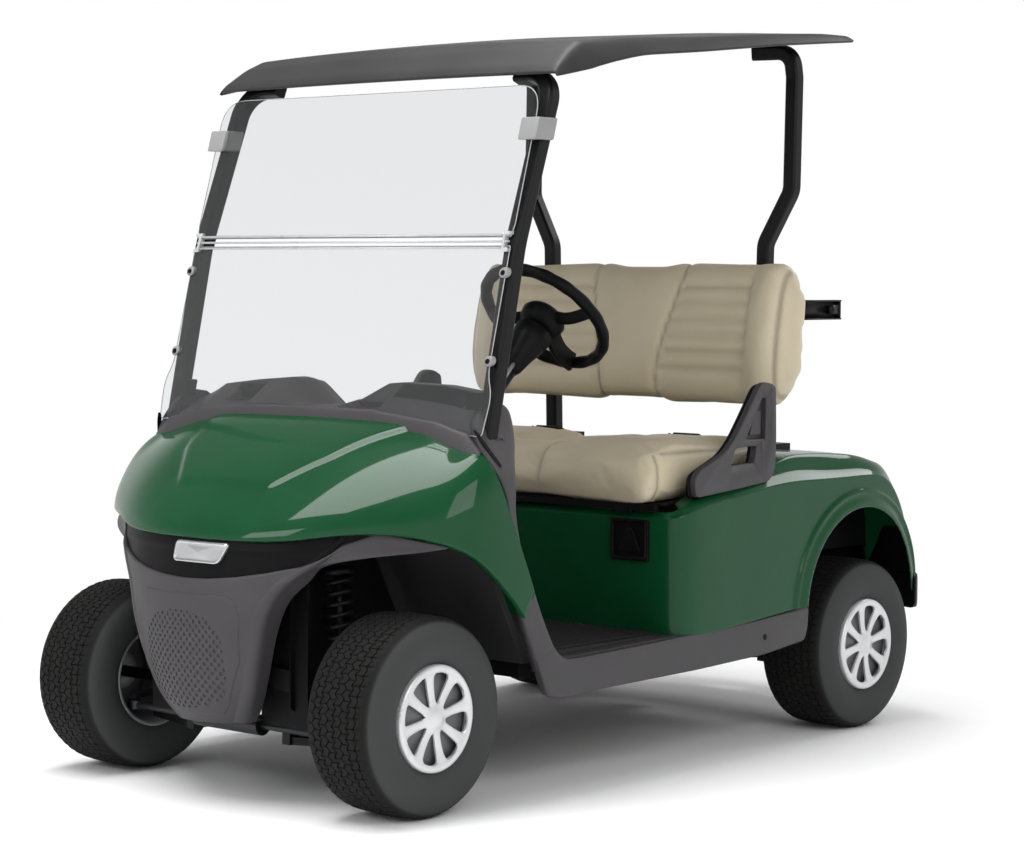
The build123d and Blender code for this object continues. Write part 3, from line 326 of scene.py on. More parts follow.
# Grained marine vinyl over foam: soft beige with a pebbled surface.
beige_vinyl = grained("BeigeMarineVinyl", "#c6bba1", "#bdb197", 0.46, 1.5, 0.05,
                      {"IOR": 1.5, "Sheen Weight": 0.08}, kind="VORONOI")
# Black-passivated zinc on steel: dark grey metal with a soft spread of light.
zinc_plate = grained("BlackZincSteel", "#3c3d3f", "#323335", 0.4, 1.5, 0.01,
                     {"Metallic": 1.0})
# Ribbed floor rubber.
floor_rubber = grained("FloorRubber", "#1c1c1c", "#161616", 0.62, 1.5, 0.04, {"IOR": 1.52})
# Light grey moulded nylon of the windshield clips.
grey_nylon = grained("GreyNylon", "#8f8f8f", "#868686", 0.45, 1.2, 0.02, {"IOR": 1.53})
# Thermoformed roof sheet: dark charcoal with a satin, slightly wavy face.
roof_sheet = grained("RoofThermoform", "#2d2c2d", "#272627", 0.5, 1.3, 0.03, {"IOR": 1.36})
# Cast bright plate: lacquered, fine satin.
satin_plate = grained("SatinBrightPlate", "#c9cacb", "#bcbdbf", 0.25, 0.9, 0.006,
                      {"Metallic": 0.8})


def clear_acrylic():
    """Cast acrylic sheet: clear, IOR 1.49, a faint cool tint, polished."""
    made, tree, out = blank("ClearAcrylic")
    place = add(tree, "TexCoord")
    waves = add(tree, "TexNoise", inputs={"Vector": (place, "Object"), "Scale": 3.0})
    bump = add(tree, "Bump", inputs={"Height": (waves, "Fac"), "Distance": 0.00006,
                                     "Strength": 0.5})
    body = add(tree, "BsdfPrincipled", inputs={
        "Base Color": linear("#eceeef"), "Roughness": 0.0, "IOR": 1.49,
        "Transmission Weight": 1.0, "Normal": (bump, "Normal")})
    tree.links.new(body.outputs["BSDF"], out.inputs["Surface"])
    return made


acrylic = clear_acrylic()

# Painted steel of the wheel behind the cover, and its satin grey rim.
disc_grey = grained("WheelSteelGrey", "#6d6d6e", "#626263", 0.5, 1.2, 0.02, {"IOR": 1.5})
rim_grey = grained("RimLacquer", "#9a9a9b", "#8d8d8f", 0.36, 1.2, 0.01, {"Metallic": 0.4})


def toned(finish, name, tone):
    """A copy of a finish that goes over to a tone where the mesh's tone attribute is 1."""
    made = finish.copy()
    made.name = name
    tree = made.node_tree
    body = next(n for n in tree.nodes if n.type == "BSDF_PRINCIPLED")
    plain = body.inputs["Base Color"].links[0].from_socket
    share = add(tree, "Attribute", {"attribute_name": "tone"})
    mix = add(tree, "Mix", {"data_type": "RGBA"}, {"Factor": (share, "Fac")})
    tree.links.new(plain, mix.inputs[6])
    mix.inputs[7].default_value = linear(tone)
    tree.links.new(mix.outputs[2], body.inputs["Base Color"])
    return made


# The charcoal moulding of the grille, with painted shade in black down its pits.
grille_pit_shade_plastic = toned(charcoal_tpo, "CharcoalGrillePitShade", "#0a0a0a")
# The vinyl with thread colour and painted shade in its sewn lines.
thread_and_shade_vinyl = toned(beige_vinyl, "MarineVinylThreadAndShade", "#5e5443")
# Tyre rubber whose sidewall is coloured greyer than the tread.
grey_sidewall_tyre = toned(tyre_rubber, "GreySidewallTyreRubber", "#3c3e3e")
# Sawn and flame-polished edge of acrylic sheet: pale, cloudy, slightly glossy.
sawn_acrylic = grained("SawnAcrylic", "#b9bbbc", "#aaacad", 0.3, 1.0, 0.004, {"IOR": 1.49})

NODE_FINISH = [  # CAD nodes that stay, and the finish each gets
    (green_clearcoat, ["cowl", "rear_body"]),
    (charcoal_tpo, ["rocker_panels", "fascia", "grille_panel", "dash", "hip_restraints"]),
    (black_abs, ["nose_band", "front_liners", "bag_tray", "rear_bumper", "charge_port",
                 "steering_wheel", "steering_column", "seat_back_frame", "battery"]),
    (powder_coat, ["frame_rails", "shock_towers", "pedals", "front_arms", "front_shocks",
                   "rear_axle", "rear_springs", "seat_hinges", "front_struts", "rear_struts",
                   "bag_rack", "seat_board", "drive_motor", "windshield_hinge"]),
    (floor_rubber, ["floor_mat"]),
    (tyre_rubber, ["tyre_front_left", "tyre_front_right", "tyre_rear_left", "tyre_rear_right"]),
    (silver_paint, ["wheel_front_left", "wheel_front_right", "wheel_rear_left",
                    "wheel_rear_right"]),
    (beige_vinyl, ["seat_cushion", "seat_back"]),
    (acrylic, ["windshield_lower", "windshield_upper"]),
    (zinc_plate, ["tie_rods", "knuckle_left", "knuckle_right", "steering_rack"]),
    (grey_nylon, ["windshield_clips"]),
    (satin_plate, ["name_plate"]),
    (roof_sheet, ["roof"]),
]
for finish, names in NODE_FINISH:
    for name in names:
        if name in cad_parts:
            node_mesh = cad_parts[name].data
            node_mesh.materials.clear()
            node_mesh.materials.append(finish)

# ------------------------------------------------------------------ wheels and tyres
TYRE_PROFILE = [  # across from the middle (mm), radius: half of the section, tread to bead
    (0, 228.0), (34, 227.6), (60, 226.4), (78, 223.5), (86, 219.0), (93, 211.0), (99, 199.0),
    (103, 183.0), (103.8, 166.0), (101.5, 149.0), (96.5, 134.0), (91, 124.5), (86, 119.0),
]
BEAD_SEAT = [(60, 118.2), (0, 118.2), (-60, 118.2)]  # across, radius: the inside of the ring
TREAD_GROOVES = [-62, -41.5, -20.5, 0, 20.5, 41.5, 62]  # across, mm
TREAD_HALF, TREAD_TEETH, TOOTH_SAMPLES = 78, 60, 12
GROOVE_HALF, GROOVE_DEPTH, TREAD_ZIGZAG = 1.9, 4.2, 5.0


def tread_columns():
    """Each column's place across the tread, how deep it lies and whether it is on a rib."""
    columns = []
    previous = -TREAD_HALF
    for g in TREAD_GROOVES + [TREAD_HALF]:
        low = previous + (0 if previous == -TREAD_HALF else GROOVE_HALF)
        high = g - (0 if g == TREAD_HALF else GROOVE_HALF)
        columns += [(low + (high - low) * part, 0.0, 1.0) for part in (0.0, 0.5, 1.0)]
        if g != TREAD_HALF:
            columns += [(g + shift, GROOVE_DEPTH, 0.0)
                        for shift in (-GROOVE_HALF + 0.8, GROOVE_HALF - 0.8)]
        previous = g
    return np.array(columns, float).T


def tyre_grid(x_centre, y_centre):
    """Rows go round the tyre and columns across it. The radius follows the section's spline;
    each groove is four columns, and the whole tread shifts across in a sawtooth that gives the
    ribs their zigzag. Every tooth has a cut across each rib."""
    across, depth, is_rib = tread_columns()
    profile = np.array(TYRE_PROFILE, float)
    side = through(profile[3:], 20)[1:]
    crown = spline(profile[:5, 0], profile[:5, 1], np.abs(across))
    teeth = TREAD_TEETH * TOOTH_SAMPLES
    turn = np.arange(teeth) / TOOTH_SAMPLES
    phase = turn % 1.0
    saw = np.where(phase < 0.62, phase / 0.62, (1 - phase) / 0.38) * 2 - 1
    fade = 1 - 0.45 * (np.abs(across) / TREAD_HALF) ** 3
    x = across[None] + TREAD_ZIGZAG * saw[:, None] * fade[None]
    half_step = np.arange(len(across)) // 5 % 2 * (TOOTH_SAMPLES // 2)
    sample = np.arange(teeth)[:, None]
    cut = ((sample + half_step[None]) % TOOTH_SAMPLES == 0) * is_rib[None] * 2.6
    outer_rib = (np.abs(across) > 62)[None]
    cut = np.where(outer_rib, ((sample % TOOTH_SAMPLES) < 2) * 3.2, cut)
    r = crown[None] - depth[None] - cut
    r = np.where(np.abs(across)[None] >= TREAD_HALF, crown[None] - 0.4, r)
    side_x, side_r = (np.broadcast_to(column, (teeth, len(side))) for column in side.T)
    seat_x, seat_r = (np.broadcast_to(column, (teeth, 3)) for column in np.transpose(BEAD_SEAT))
    all_x = np.concatenate([-side_x[:, ::-1], x, side_x, seat_x], 1)
    all_r = np.concatenate([side_r[:, ::-1], r, side_r, seat_r], 1)
    angle = (turn / TREAD_TEETH * 2 * math.pi)[:, None]
    return np.stack([x_centre + all_x, y_centre + all_r * np.sin(angle),
                     AXLE_HEIGHT + all_r * np.cos(angle)], -1)


COVER_RINGS = [  # radius, how far out the face stands, half width of a window
    (0.01, 102.8, 0), (12, 102.0, 0), (20, 99.6, 0), (26, 96.6, 0), (33, 95.4, 0), (36, 95.0, 3.2),
    (42, 94.6, 6.6), (56, 94.2, 12.0), (72, 94.8, 17.2), (86, 96.0, 21.6), (95, 97.3, 23.6),
    (100, 98.2, 22.2), (103, 98.9, 17.0), (104.5, 99.2, 0), (108, 100.2, 0), (114, 101.0, 0),
    (119, 100.0, 0), (121.5, 97.0, 0), (122, 92.0, 0),
]


COVER_SECTORS, COVER_WALL = 8, 5.0


def wheel_cover():
    """Eight sectors, each a fan whose edges draw in to leave a teardrop window, with the spoke
    between crowned. A back stands a wall's thickness behind, joined to it beside the windows."""
    radius, stand, window = np.array(COVER_RINGS, float).T[..., None]
    share = np.linspace(-1, 1, 9)[None]
    reach = math.pi / COVER_SECTORS - np.arcsin(np.clip(window / radius, 0, 1))
    out = stand - np.where(window > 0, 2.2 * share ** 4, 0)
    n_ring, n_share = out.shape
    half = n_ring * n_share
    faces = grid_faces(n_ring, n_share)
    left = np.arange(n_ring) * n_share
    opened = window[:, 0] > 0
    cut = opened[:-1] | opened[1:]

    def wall(line):
        return np.stack([line[:-1], line[1:], line[1:] + half, line[:-1] + half], -1)

    blocks = [faces, faces[:, ::-1] + half, wall(left)[cut],
              wall(left + n_share - 1)[cut][:, ::-1]]
    parts = []
    for k in range(COVER_SECTORS):
        angle = 2 * math.pi * (k + 0.5) / COVER_SECTORS + math.pi / 16 + reach * share
        front = np.stack([out, radius * np.sin(angle), radius * np.cos(angle)], -1)
        back = front - (COVER_WALL, 0, 0)
        parts.append((np.concatenate([front.reshape(-1, 3), back.reshape(-1, 3)]), blocks))
    return merged(parts)


def turned_about_axle(profile, sides=96):
    """A closed profile of (out, radius) points turned about the axle."""
    p = np.asarray(profile, float)
    area = np.sum(p[:, 0] * np.roll(p[:, 1], -1) - np.roll(p[:, 0], -1) * p[:, 1])
    p = p[::-1] if area > 0 else p
    angle = np.linspace(0, 2 * math.pi, sides, endpoint=False)[:, None]
    grid = np.stack([np.broadcast_to(p[:, 0], (sides, len(p))),
                     p[:, 1] * np.sin(angle), p[:, 1] * np.cos(angle)], -1)
    return grid.reshape(-1, 3), [grid_faces(sides, len(p), True, True)]


DISC_PROFILE = [(84, 1), (84, 30), (78, 60), (74, 90), (80, 112), (76, 112), (70, 90), (74, 60),
                (79, 30), (79, 1)]  # out, radius
BARREL_PROFILE = [(88, 117), (90, 122), (86, 122), (80, 112), (30, 108), (-60, 108), (-80, 113),
                  (-90, 123), (-95, 122), (-91, 113), (-82, 117.6), (80, 117.6)]
HUB_PROFILE = [(78, 1), (78, 28), (44, 30), (40, 44), (30, 44), (30, 15), (82, 15), (82, 1)]


def wheel_parts(x_centre, y_centre, outward):
    """The cover, the dished steel disc behind it, and a barrel with rolled lips round a hub,
    set on the axle. On the right side of the cart they are mirrored and their faces turned."""
    barrel = turned_about_axle(rounded(BARREL_PROFILE, 3, 3))
    hub = turned_about_axle(rounded(HUB_PROFILE, 2, 3), 48)
    place = np.array([x_centre, y_centre, AXLE_HEIGHT])
    for v, f in (wheel_cover(), turned_about_axle(DISC_PROFILE), merged([barrel, hub])):
        faces = f if outward > 0 else [block[:, ::-1] for block in f]
        yield v * (outward, 1, 1) + place, faces


WHEELS = [  # name, track half (mm), axle y, outward
    ("front_left", 461, FRONT_AXLE_Y, 1), ("front_right", -461, FRONT_AXLE_Y, -1),
    ("rear_left", 502, REAR_AXLE_Y, 1), ("rear_right", -502, REAR_AXLE_Y, -1),
]


def fit_wheels():
    """A tyre, a cover, a disc and a barrel at each corner."""
    for corner, x, y, outward in WHEELS:
        body = "wheel_" + corner
        grid = tyre_grid(x, y)
        tyre = surface("tread_" + corner, grid, grey_sidewall_tyre, (True, True), body=body,
                       slot="tyre_rubber")
        radius = np.hypot(grid[..., 1] - y, grid[..., 2] - AXLE_HEIGHT)
        tone_points(tyre, smooth(219, 211, radius))
        tyre.data.set_sharp_from_angle(angle=math.radians(38))
        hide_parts("tyre_" + corner)
        cover, disc, barrel = wheel_parts(x, y, outward)
        shown = piece("cover_" + corner, *cover, silver_paint, body=body, slot="wheel_silver")
        shown.data.set_sharp_from_angle(angle=math.radians(40))
        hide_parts("wheel_" + corner)
        piece("disc_" + corner, *disc, disc_grey, body=body, slot="wheel_silver")
        rim = piece("rim_" + corner, *barrel, rim_grey, body=body, slot="wheel_silver")
        rim.data.set_sharp_from_angle(angle=math.radians(40))


fit_wheels()

# ------------------------------------------------------------------ hood and front wings
HOOD_RIBS = [  # place round the hood, then lower edge, two pulls and upper edge (x, y, z)
    (0.00, (0, -1134, 613), (0, -1124, 672), (0, -930, 834), (0, -728, 873)),
    (0.16, (150, -1121, 614), (158, -1112, 668), (165, -930, 832), (170, -727, 872)),
    (0.30, (280, -1075, 621), (296, -1068, 672), (300, -920, 825), (300, -726, 867)),
    (0.42, (391, -1006, 636), (412, -996, 682), (408, -891, 801), (405, -725, 851)),
    (0.53, (492, -932, 633), (510, -920, 694), (500, -853, 780), (480, -723, 832)),
    (0.64, (561, -856, 610), (578, -846, 680), (568, -816, 773), (542, -738, 811)),
    (0.75, (590, -787, 569), (598, -782, 645), (598, -754, 717), (580, -730, 761)),
    (0.86, (597, -713, 505), (600, -713, 560), (600, -706, 620), (597, -700, 672)),
    (0.94, (598, -675, 467), (600, -675, 500), (600, -663, 540), (599, -656, 575)),
    (1.00, (598, -647, 435), (600, -647, 452), (600, -623, 472), (599, -617, 490)),
]


def hood_surface(rows, columns):
    """Each rib is a cubic pull between the lower and the upper edge; the ribs' four points run
    through a spline round the hood, mirrored about the middle. A flat-topped centre stands a
    few millimetres proud between two lines that close towards the nose."""
    left = np.array([rib[1:] for rib in HOOD_RIBS], float)
    knots = np.array([rib[0] for rib in HOOD_RIBS])
    right = left[:0:-1] * (-1, 1, 1)
    net = spline(np.r_[-knots[:0:-1], knots], np.concatenate([right, left]),
                 np.linspace(-1, 1, columns))
    t = np.linspace(0, 1, rows)[:, None, None]
    p = ((1 - t) ** 3 * net[None, :, 0] + 3 * t * (1 - t) ** 2 * net[None, :, 1]
         + 3 * t ** 2 * (1 - t) * net[None, :, 2] + t ** 3 * net[None, :, 3])
    x, y = np.abs(p[..., 0]), p[..., 1]
    edge = np.interp(y, [-1040, -1016, -920, -787, -720], [138, 160, 241, 311, 340])
    raised = smooth(9, -9, x - edge) * smooth(-1046, -1020, y)
    flank = smooth(60, 0, x - edge) * smooth(-1060, -1000, y) * smooth(0, 9, x - edge)
    p[..., 2] += 6.5 * raised - 3.0 * flank
    return p


def lip(edge, inward, drop, rows=5):
    """A rounded return along an edge: a quarter turn that ends inward and drop away."""
    t = np.linspace(0, math.pi / 2, rows)[:, None, None]
    e = np.asarray(edge, float)[None]
    return e + np.asarray(inward, float)[None] * (1 - np.cos(t)) + np.asarray(drop) * np.sin(t)


def build_hood():
    """The painted hood with a return along its lower edge."""
    p = hood_surface(96, 260)
    inward = p[0] * (-1, 0, 0)
    inward[:, 1] = np.where(p[0, :, 1] < -900, 300.0, 0.0)
    inward /= np.linalg.norm(inward, axis=1, keepdims=True) + 1e-9
    turned = lip(p[0], inward * 14, (0, 0, -5.0))[::-1]
    grid = np.concatenate([turned[:-1], p])
    hood = surface("hood_panel", grid, green_clearcoat, slot="green_paint")
    thickened(hood, 3.5)
    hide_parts("cowl")


# ------------------------------------------------------------------ fascia, band and grille
NOSE_LEVELS = [  # z, half width, y of the corner, y at the middle, end of the return (x, y)
    (186, 118, -1076, -1124, 114, -1030),
    (215, 140, -1088, -1142, 136, -1036),
    (267, 168, -1101, -1157, 164, -1046),
    (320, 188, -1110, -1162, 184, -1052),
    (384, 208, -1117, -1163.5, 204, -1056),
    (440, 224, -1117, -1163, 222, -1052),
    (490, 246, -1106, -1159, 250, -1040),
    (535, 288, -1082, -1153, 296, -1026),
    (573, 336, -1048, -1146, 372, -1002),
    (590, 352, -1036, -1142, 470, -940),
    (606, 366, -1026, -1138, 556, -866),
    (625, 380, -1014, -1132, 560, -862),
    (645, 390, -1006, -1126, 562, -860),
]
NOSE_CORNER = 26.0
FRONT_SHARE, CORNER_SHARE = 0.70, 0.84  # of the way round from the middle to the return's end


def nose_skin(s, z, sink=0.0):
    """The nose at s, -1 to 1 round it, and height z: a shallow front arc, a tight round corner
    and a return, from the spline of the levels' columns. sink moves the front rearward."""
    table = np.array(NOSE_LEVELS, float)
    flat = spline(table[:, 0], table[:, 1:], np.clip(z.ravel(), 180, 650))
    half, y_side, y_mid, tail_x, tail_y = flat.reshape(*z.shape, 5).transpose(2, 0, 1)
    a = np.abs(s)
    front = np.clip(a / FRONT_SHARE, 0, 1)
    turn = np.clip((a - FRONT_SHARE) / (CORNER_SHARE - FRONT_SHARE), 0, 1) * math.pi / 2
    tail = np.clip((a - CORNER_SHARE) / (1 - CORNER_SHARE), 0, 1)
    x = (half - NOSE_CORNER) * front + NOSE_CORNER * np.sin(turn)
    y = y_mid + (y_side - y_mid - 6) * front ** 2.2 + NOSE_CORNER * (1 - np.cos(turn))
    x_turn, y_turn = half, y_side - 6 + NOSE_CORNER
    x = x + (tail_x - x_turn) * tail
    y = y + (tail_y - y_turn) * tail
    outward = np.stack([np.sin(turn) * np.sign(s), -np.cos(turn), 0 * turn], -1)
    return np.stack([np.sign(s) * x, y, z], -1) - outward * np.asarray(sink)[..., None]


# Lower and upper edge of the band: share of the way round from the middle, height.
BAND_LOW = [(0, 519), (0.2, 521), (0.4, 529), (0.56, 541), (0.68, 556), (0.76, 572),
            (0.82, 592), (0.86, 622), (0.88, 640), (1, 640)]
BAND_TOP = [(0, 622), (0.3, 625), (0.6, 635), (0.84, 641), (0.9, 634), (0.95, 620), (1, 606)]


def build_fascia():
    """The charcoal snout below the band and its two arms over the wheels, then the sunk black
    band, in one skin whose rows follow the band's lower edge."""
    s = np.linspace(-1, 1, 241)[None]
    a = np.abs(s[0])
    top = spline(*np.array(BAND_TOP, float).T, a)
    split = np.minimum(np.interp(a, *np.array(BAND_LOW, float).T), top)
    t = np.linspace(0, 1, 110)[:, None]
    z = 188 + (split[None] - 188) * t
    s_grid = np.broadcast_to(s, z.shape)
    lower = nose_skin(s_grid, z, 2.0 * smooth(0.985, 1.0, t) + 0 * z)
    under = lower[0][None] * (0.93, 1, 1) + np.array([(0, 34.0, 5), (0, 12.0, -3.0)])[:, None]
    into_band = nose_skin(s, split[None] + 1.5, 11.0 + 0 * split[None])
    fascia = surface("fascia_panel", np.concatenate([under, lower, into_band]), charcoal_tpo,
                     slot="grey_plastic")
    thickened(fascia, 3.0)
    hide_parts("fascia")
    inside = a < 0.885
    low, high = split[inside] - 3, top[inside] + 4
    t = np.linspace(0, 1, 40)[:, None]
    z = low[None] + (high - low)[None] * t
    swell = 3.0 * np.exp(-((z - 590) / 9.0) ** 2)
    band = nose_skin(np.broadcast_to(s[:, inside], z.shape), z, 9.0 - swell)
    shown = surface("nose_band_panel", band, black_abs, slot="black_plastic")
    thickened(shown, 3.0)
    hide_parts("nose_band")


GRILLE_PITCH_X, GRILLE_PITCH_Z, GRILLE_HOLE = 19.0, 10.5, 3.7


def build_grille():
    """The panel on the snout: a fine grid laid 2.5 mm proud of the skin, with a chamfered rim
    and staggered round pits. Its outline narrows upward at the corners and downward below."""
    z_rows = np.linspace(208, 487, 250)
    half = linear_at([208, 232, 340, 440, 470, 487], [[92], [112], [160], [170], [160], [132]],
                     z_rows)[:, 0]
    u = np.linspace(-1, 1, 300)[None]
    x = u * half[:, None]
    z = np.broadcast_to(z_rows[:, None], x.shape)
    table = np.array(NOSE_LEVELS, float)
    width = spline(table[:, 0], table[:, 1:2], z_rows)
    s = x / (width - NOSE_CORNER) * FRONT_SHARE
    rim = np.minimum(half[:, None] - np.abs(x), np.minimum(z - 208, 487 - z))
    row = np.round((z - 330) / GRILLE_PITCH_Z)
    shift = (row % 2) * GRILLE_PITCH_X / 2
    dx = (x - shift) - np.round((x - shift) / GRILLE_PITCH_X) * GRILLE_PITCH_X
    dz = z - 330 - row * GRILLE_PITCH_Z
    field = ((x / 124) ** 2 + ((z - 335) / 112) ** 4) < 1
    pit = smooth(GRILLE_HOLE + 0.5, GRILLE_HOLE - 0.7, np.hypot(dx, dz)) * field
    grid = nose_skin(s, z, -2.6 * smooth(-0.5, 3.0, rim) + 5.0 * pit + 1.2 * (rim < 0.3))
    made = surface("grille_face", grid, grille_pit_shade_plastic, slot="grey_plastic")
    # the black tone in the pits is painted shade
    tone_points(made, pit)
    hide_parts("grille_panel")


PLATE_HALF_WIDTH, PLATE_HALF_HEIGHT, PLATE_SLANT = 80.0, 24.0, 6.0
PLATE_X, PLATE_Z, BAND_HALF_WIDTH = 38, 580, 345


def build_plate():
    """The bare bright plate on the band: a rounded bar with a raised rim and a flat field,
    left of the middle, its height over the band added to the nose skin."""
    w, h = PLATE_HALF_WIDTH, PLATE_HALF_HEIGHT
    outline = rounded([(-w, -h), (w - PLATE_SLANT, -h), (w, h), (PLATE_SLANT - w, h)], 12, 8)
    rings = []
    for scale, out in [(1.0, 0), (1.0, 5), (0.985, 7), (0.95, 8), (0.92, 7.2), (0.9, 5.4),
                       (0.88, 5.0), (0.45, 5.6), (0.01, 5.8)]:
        inset = np.sign(outline) * np.minimum(np.abs(outline), (1 - scale) * 60)
        ring = outline - inset if scale > 0.8 else outline * scale
        rings.append(np.stack([ring[:, 0], np.full(len(ring), -out), ring[:, 1]], -1))
    grid = np.stack(rings)
    x, z = grid[..., 0] + PLATE_X, grid[..., 2] + PLATE_Z
    across = x / (BAND_HALF_WIDTH - NOSE_CORNER) * FRONT_SHARE
    place = nose_skin(across, z, 7.0) + grid * (0, 1, 0)
    made = surface("bare_plate", place, satin_plate, (False, True), slot="bright_plate")
    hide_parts("name_plate")


build_hood()
build_fascia()
build_grille()
build_plate()

# ------------------------------------------------------------------ roof
ROOF_RINGS = [  # y, half width, lip z, z of the side crease, its half width, z of the middle
    (-508, 562, 1670, 1676, 556, 1680),
    (-497, 566, 1672, 1690, 552, 1697),
    (-440, 572, 1684, 1732, 536, 1742),
    (-392, 574, 1694, 1756, 524, 1767),
    (-340, 576, 1709, 1763, 524, 1775),
    (-208, 578, 1737, 1778, 532, 1792),
    (31, 578, 1761, 1795, 540, 1815),
    (371, 572, 1800, 1826, 542, 1846),
    (600, 566, 1822, 1843, 542, 1856),
    (716, 560, 1833, 1846, 538, 1858),
    (725, 557, 1835, 1841, 540, 1846),
]


def build_roof():
    """The roof sheet: across, a lip, a rounded shoulder and a crown with two shallow channels;
    along, the rings joined straight and then averaged over five stations."""
    table = np.array(ROOF_RINGS, float)
    y = np.unique(np.concatenate([np.linspace(-508, -380, 40), np.linspace(-380, 690, 60),
                                  np.linspace(690, 725, 14)]))
    half, lip_z, crease_z, crease_x, mid_z = linear_at(table[:, 0], table[:, 1:], y).T[..., None]
    s = np.linspace(-1, 1, 121)[None]
    a = np.abs(s)
    top = np.clip(a / 0.8, 0, 1)
    side = np.clip((a - 0.8) / 0.2, 0, 1)
    x = crease_x * top + (half - crease_x) * side ** 0.8
    z = mid_z - (mid_z - crease_z) * top ** 2.4
    z = z - (crease_z - lip_z) * side ** 1.3
    channel = np.exp(-((np.abs(x) - 400) / 16) ** 2) * smooth(-380, -300, y)[:, None]
    z = z - 4.0 * channel * smooth(725, 640, y)[:, None]
    grid = np.stack([np.sign(s) * x, np.broadcast_to(y[:, None], x.shape), z], -1)
    average = np.ones(5) / 5
    for axis in (1, 2):
        padded = np.pad(grid[..., axis], ((2, 2), (0, 0)), mode="edge")
        rows = np.stack([np.convolve(padded[:, c], average, "valid")
                         for c in range(padded.shape[1])], 1)
        grid[2:-2, :, axis] = rows[2:-2]
    roof = surface("roof_sheet", grid[:, ::-1], roof_sheet, slot="roof_plastic")
    thickened(roof, 6)
    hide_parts("roof")


build_roof()

# ------------------------------------------------------------------ seat: foam under sewn vinyl
SADDLE_X, SADDLE_HALF = 45, 108  # the low strip between the two places
VOXEL, SWELL_CAP = 8.0, 12.0
NO_SEAM = 200.0  # stands for "no sewn line near"


def place_share(x):
    """0 in the saddle between the places, 1 on a place."""
    return smooth(SADDLE_HALF - 50, SADDLE_HALF + 30, np.abs(x - SADDLE_X))


def pillow(outline, half, round_y, round_z, recede):
    """A closed pillow: an outline of (y, z) points carried along x and drawn in at both ends,
    over round_z in height. Over round_y its front recedes by up to recede."""
    ring = rounded(outline, 30, 8)
    middle = (ring.min(0) + ring.max(0)) / 2
    x = half * np.sin(np.linspace(-1, 1, 121) * math.pi / 2)
    t_y = np.clip((np.abs(x) - half + round_y) / round_y, 0, 1)
    t_z = np.clip((np.abs(x) - half + round_z) / round_z, 0, 1)
    back_off = recede * (1 - (1 - t_y ** 2.4) ** (1 / 2.4))[:, None]
    keep_z = np.maximum((1 - t_z ** 2.6) ** (1 / 2.6), 0.60)[:, None]
    depth_share = (ring[:, 0].max() - ring[:, 0]) / np.ptp(ring[:, 0])
    y = ring[None, :, 0] + back_off * depth_share
    z = middle[1] + (ring[None, :, 1] - middle[1]) * keep_z
    return np.stack([np.broadcast_to(x[:, None], y.shape), y, z], -1)


def baked(obj):
    """Puts an object's modifiers into its mesh."""
    graph = bpy.context.evaluated_depsgraph_get()
    graph.update()
    done = bpy.data.meshes.new_from_object(obj.evaluated_get(graph))
    obj.modifiers.clear()
    obj.data = done


def points_of(mesh):
    """A mesh's points in millimetres."""
    flat = np.empty(3 * len(mesh.vertices))
    mesh.vertices.foreach_get("co", flat)
    return flat.reshape(-1, 3) / MM


def outward_of(mesh):
    """A mesh's point normals."""
    flat = np.empty(3 * len(mesh.vertices))
    mesh.vertices.foreach_get("normal", flat)
    return flat.reshape(-1, 3)


def move_points(mesh, points):
    """Writes points in millimetres to a mesh."""
    mesh.vertices.foreach_set("co", (points * MM).ravel())
    mesh.update()


def inflate(obj, pinned, pressure=4.0):
    """Cloth held along its sewn lines swells under pressure; no point moves past SWELL_CAP."""
    before = points_of(obj.data)
    group = obj.vertex_groups.new(name="sewn")
    for index in np.flatnonzero(pinned > 0.05):
        group.add([int(index)], float(pinned[index]), "REPLACE")
    cloth = obj.modifiers.new("cloth", "CLOTH")
    facts = cloth.settings
    facts.quality, facts.mass = 4, 0.3
    facts.use_pressure, facts.uniform_pressure_force = True, pressure
    facts.vertex_group_mass = "sewn"
    facts.pin_stiffness = 1.0
    facts.effector_weights.gravity = 0
    cloth.point_cache.frame_start, cloth.point_cache.frame_end = 1, 20
    scene = bpy.context.scene
    for step in range(1, 21):
        scene.frame_set(step)
    baked(obj)
    scene.frame_set(1)
    moved = points_of(obj.data) - before
    far = np.linalg.norm(moved, axis=1, keepdims=True) + 1e-9
    move_points(obj.data, before + moved / far * SWELL_CAP * np.tanh(far / SWELL_CAP))
    obj.vertex_groups.clear()


def sewn_pad(name, grid, form, lines, body, slot):
    """A pad: the pillow shaped by form, remeshed, swollen between its sewn lines, then creased
    along them. lines(points) gives each point's distance from a seam and from a channel."""
    shaped = form(np.asarray(grid, float))
    faces = closed_faces(*shaped.shape[:2])
    centre = shaped.reshape(-1, 3).mean(0)
    quads = shaped.reshape(-1, 3)[faces[0]]
    normal = np.cross(quads[:, 1] - quads[:, 0], quads[:, 3] - quads[:, 0])
    if np.sum(normal * (quads.mean(1) - centre)) < 0:
        faces = [block[:, ::-1] for block in faces]
    made = piece(name, shaped, faces, beige_vinyl, body, slot)
    mesher = made.modifiers.new("mesher", "REMESH")
    mesher.mode, mesher.voxel_size, mesher.use_smooth_shade = "VOXEL", VOXEL * MM, True
    baked(made)
    seam, channel = lines(points_of(made.data))
    inflate(made, np.maximum(np.exp(-(seam / 5) ** 2), np.exp(-(channel / 5) ** 2)))
    depth = 4.6 * np.exp(-(seam / 3.4) ** 2) + 3.4 * np.exp(-(seam / 16) ** 2)
    depth += 3.0 * np.exp(-(channel / 4.5) ** 2) + 4.5 * np.exp(-(channel / 13) ** 2)
    move_points(made.data, points_of(made.data) - outward_of(made.data) * depth[:, None])
    made.data.materials.clear()
    made.data.materials.append(thread_and_shade_vinyl)
    # the darker tone along seams and channels is thread colour and painted shade
    tone_points(made, 0.55 * np.exp(-(seam / 4.5) ** 2) + 0.12 * np.exp(-(channel / 7) ** 2))
    made.data.shade_smooth()
    finer = made.modifiers.new("finer", "SUBSURF")
    finer.levels = finer.render_levels = 1
    return made


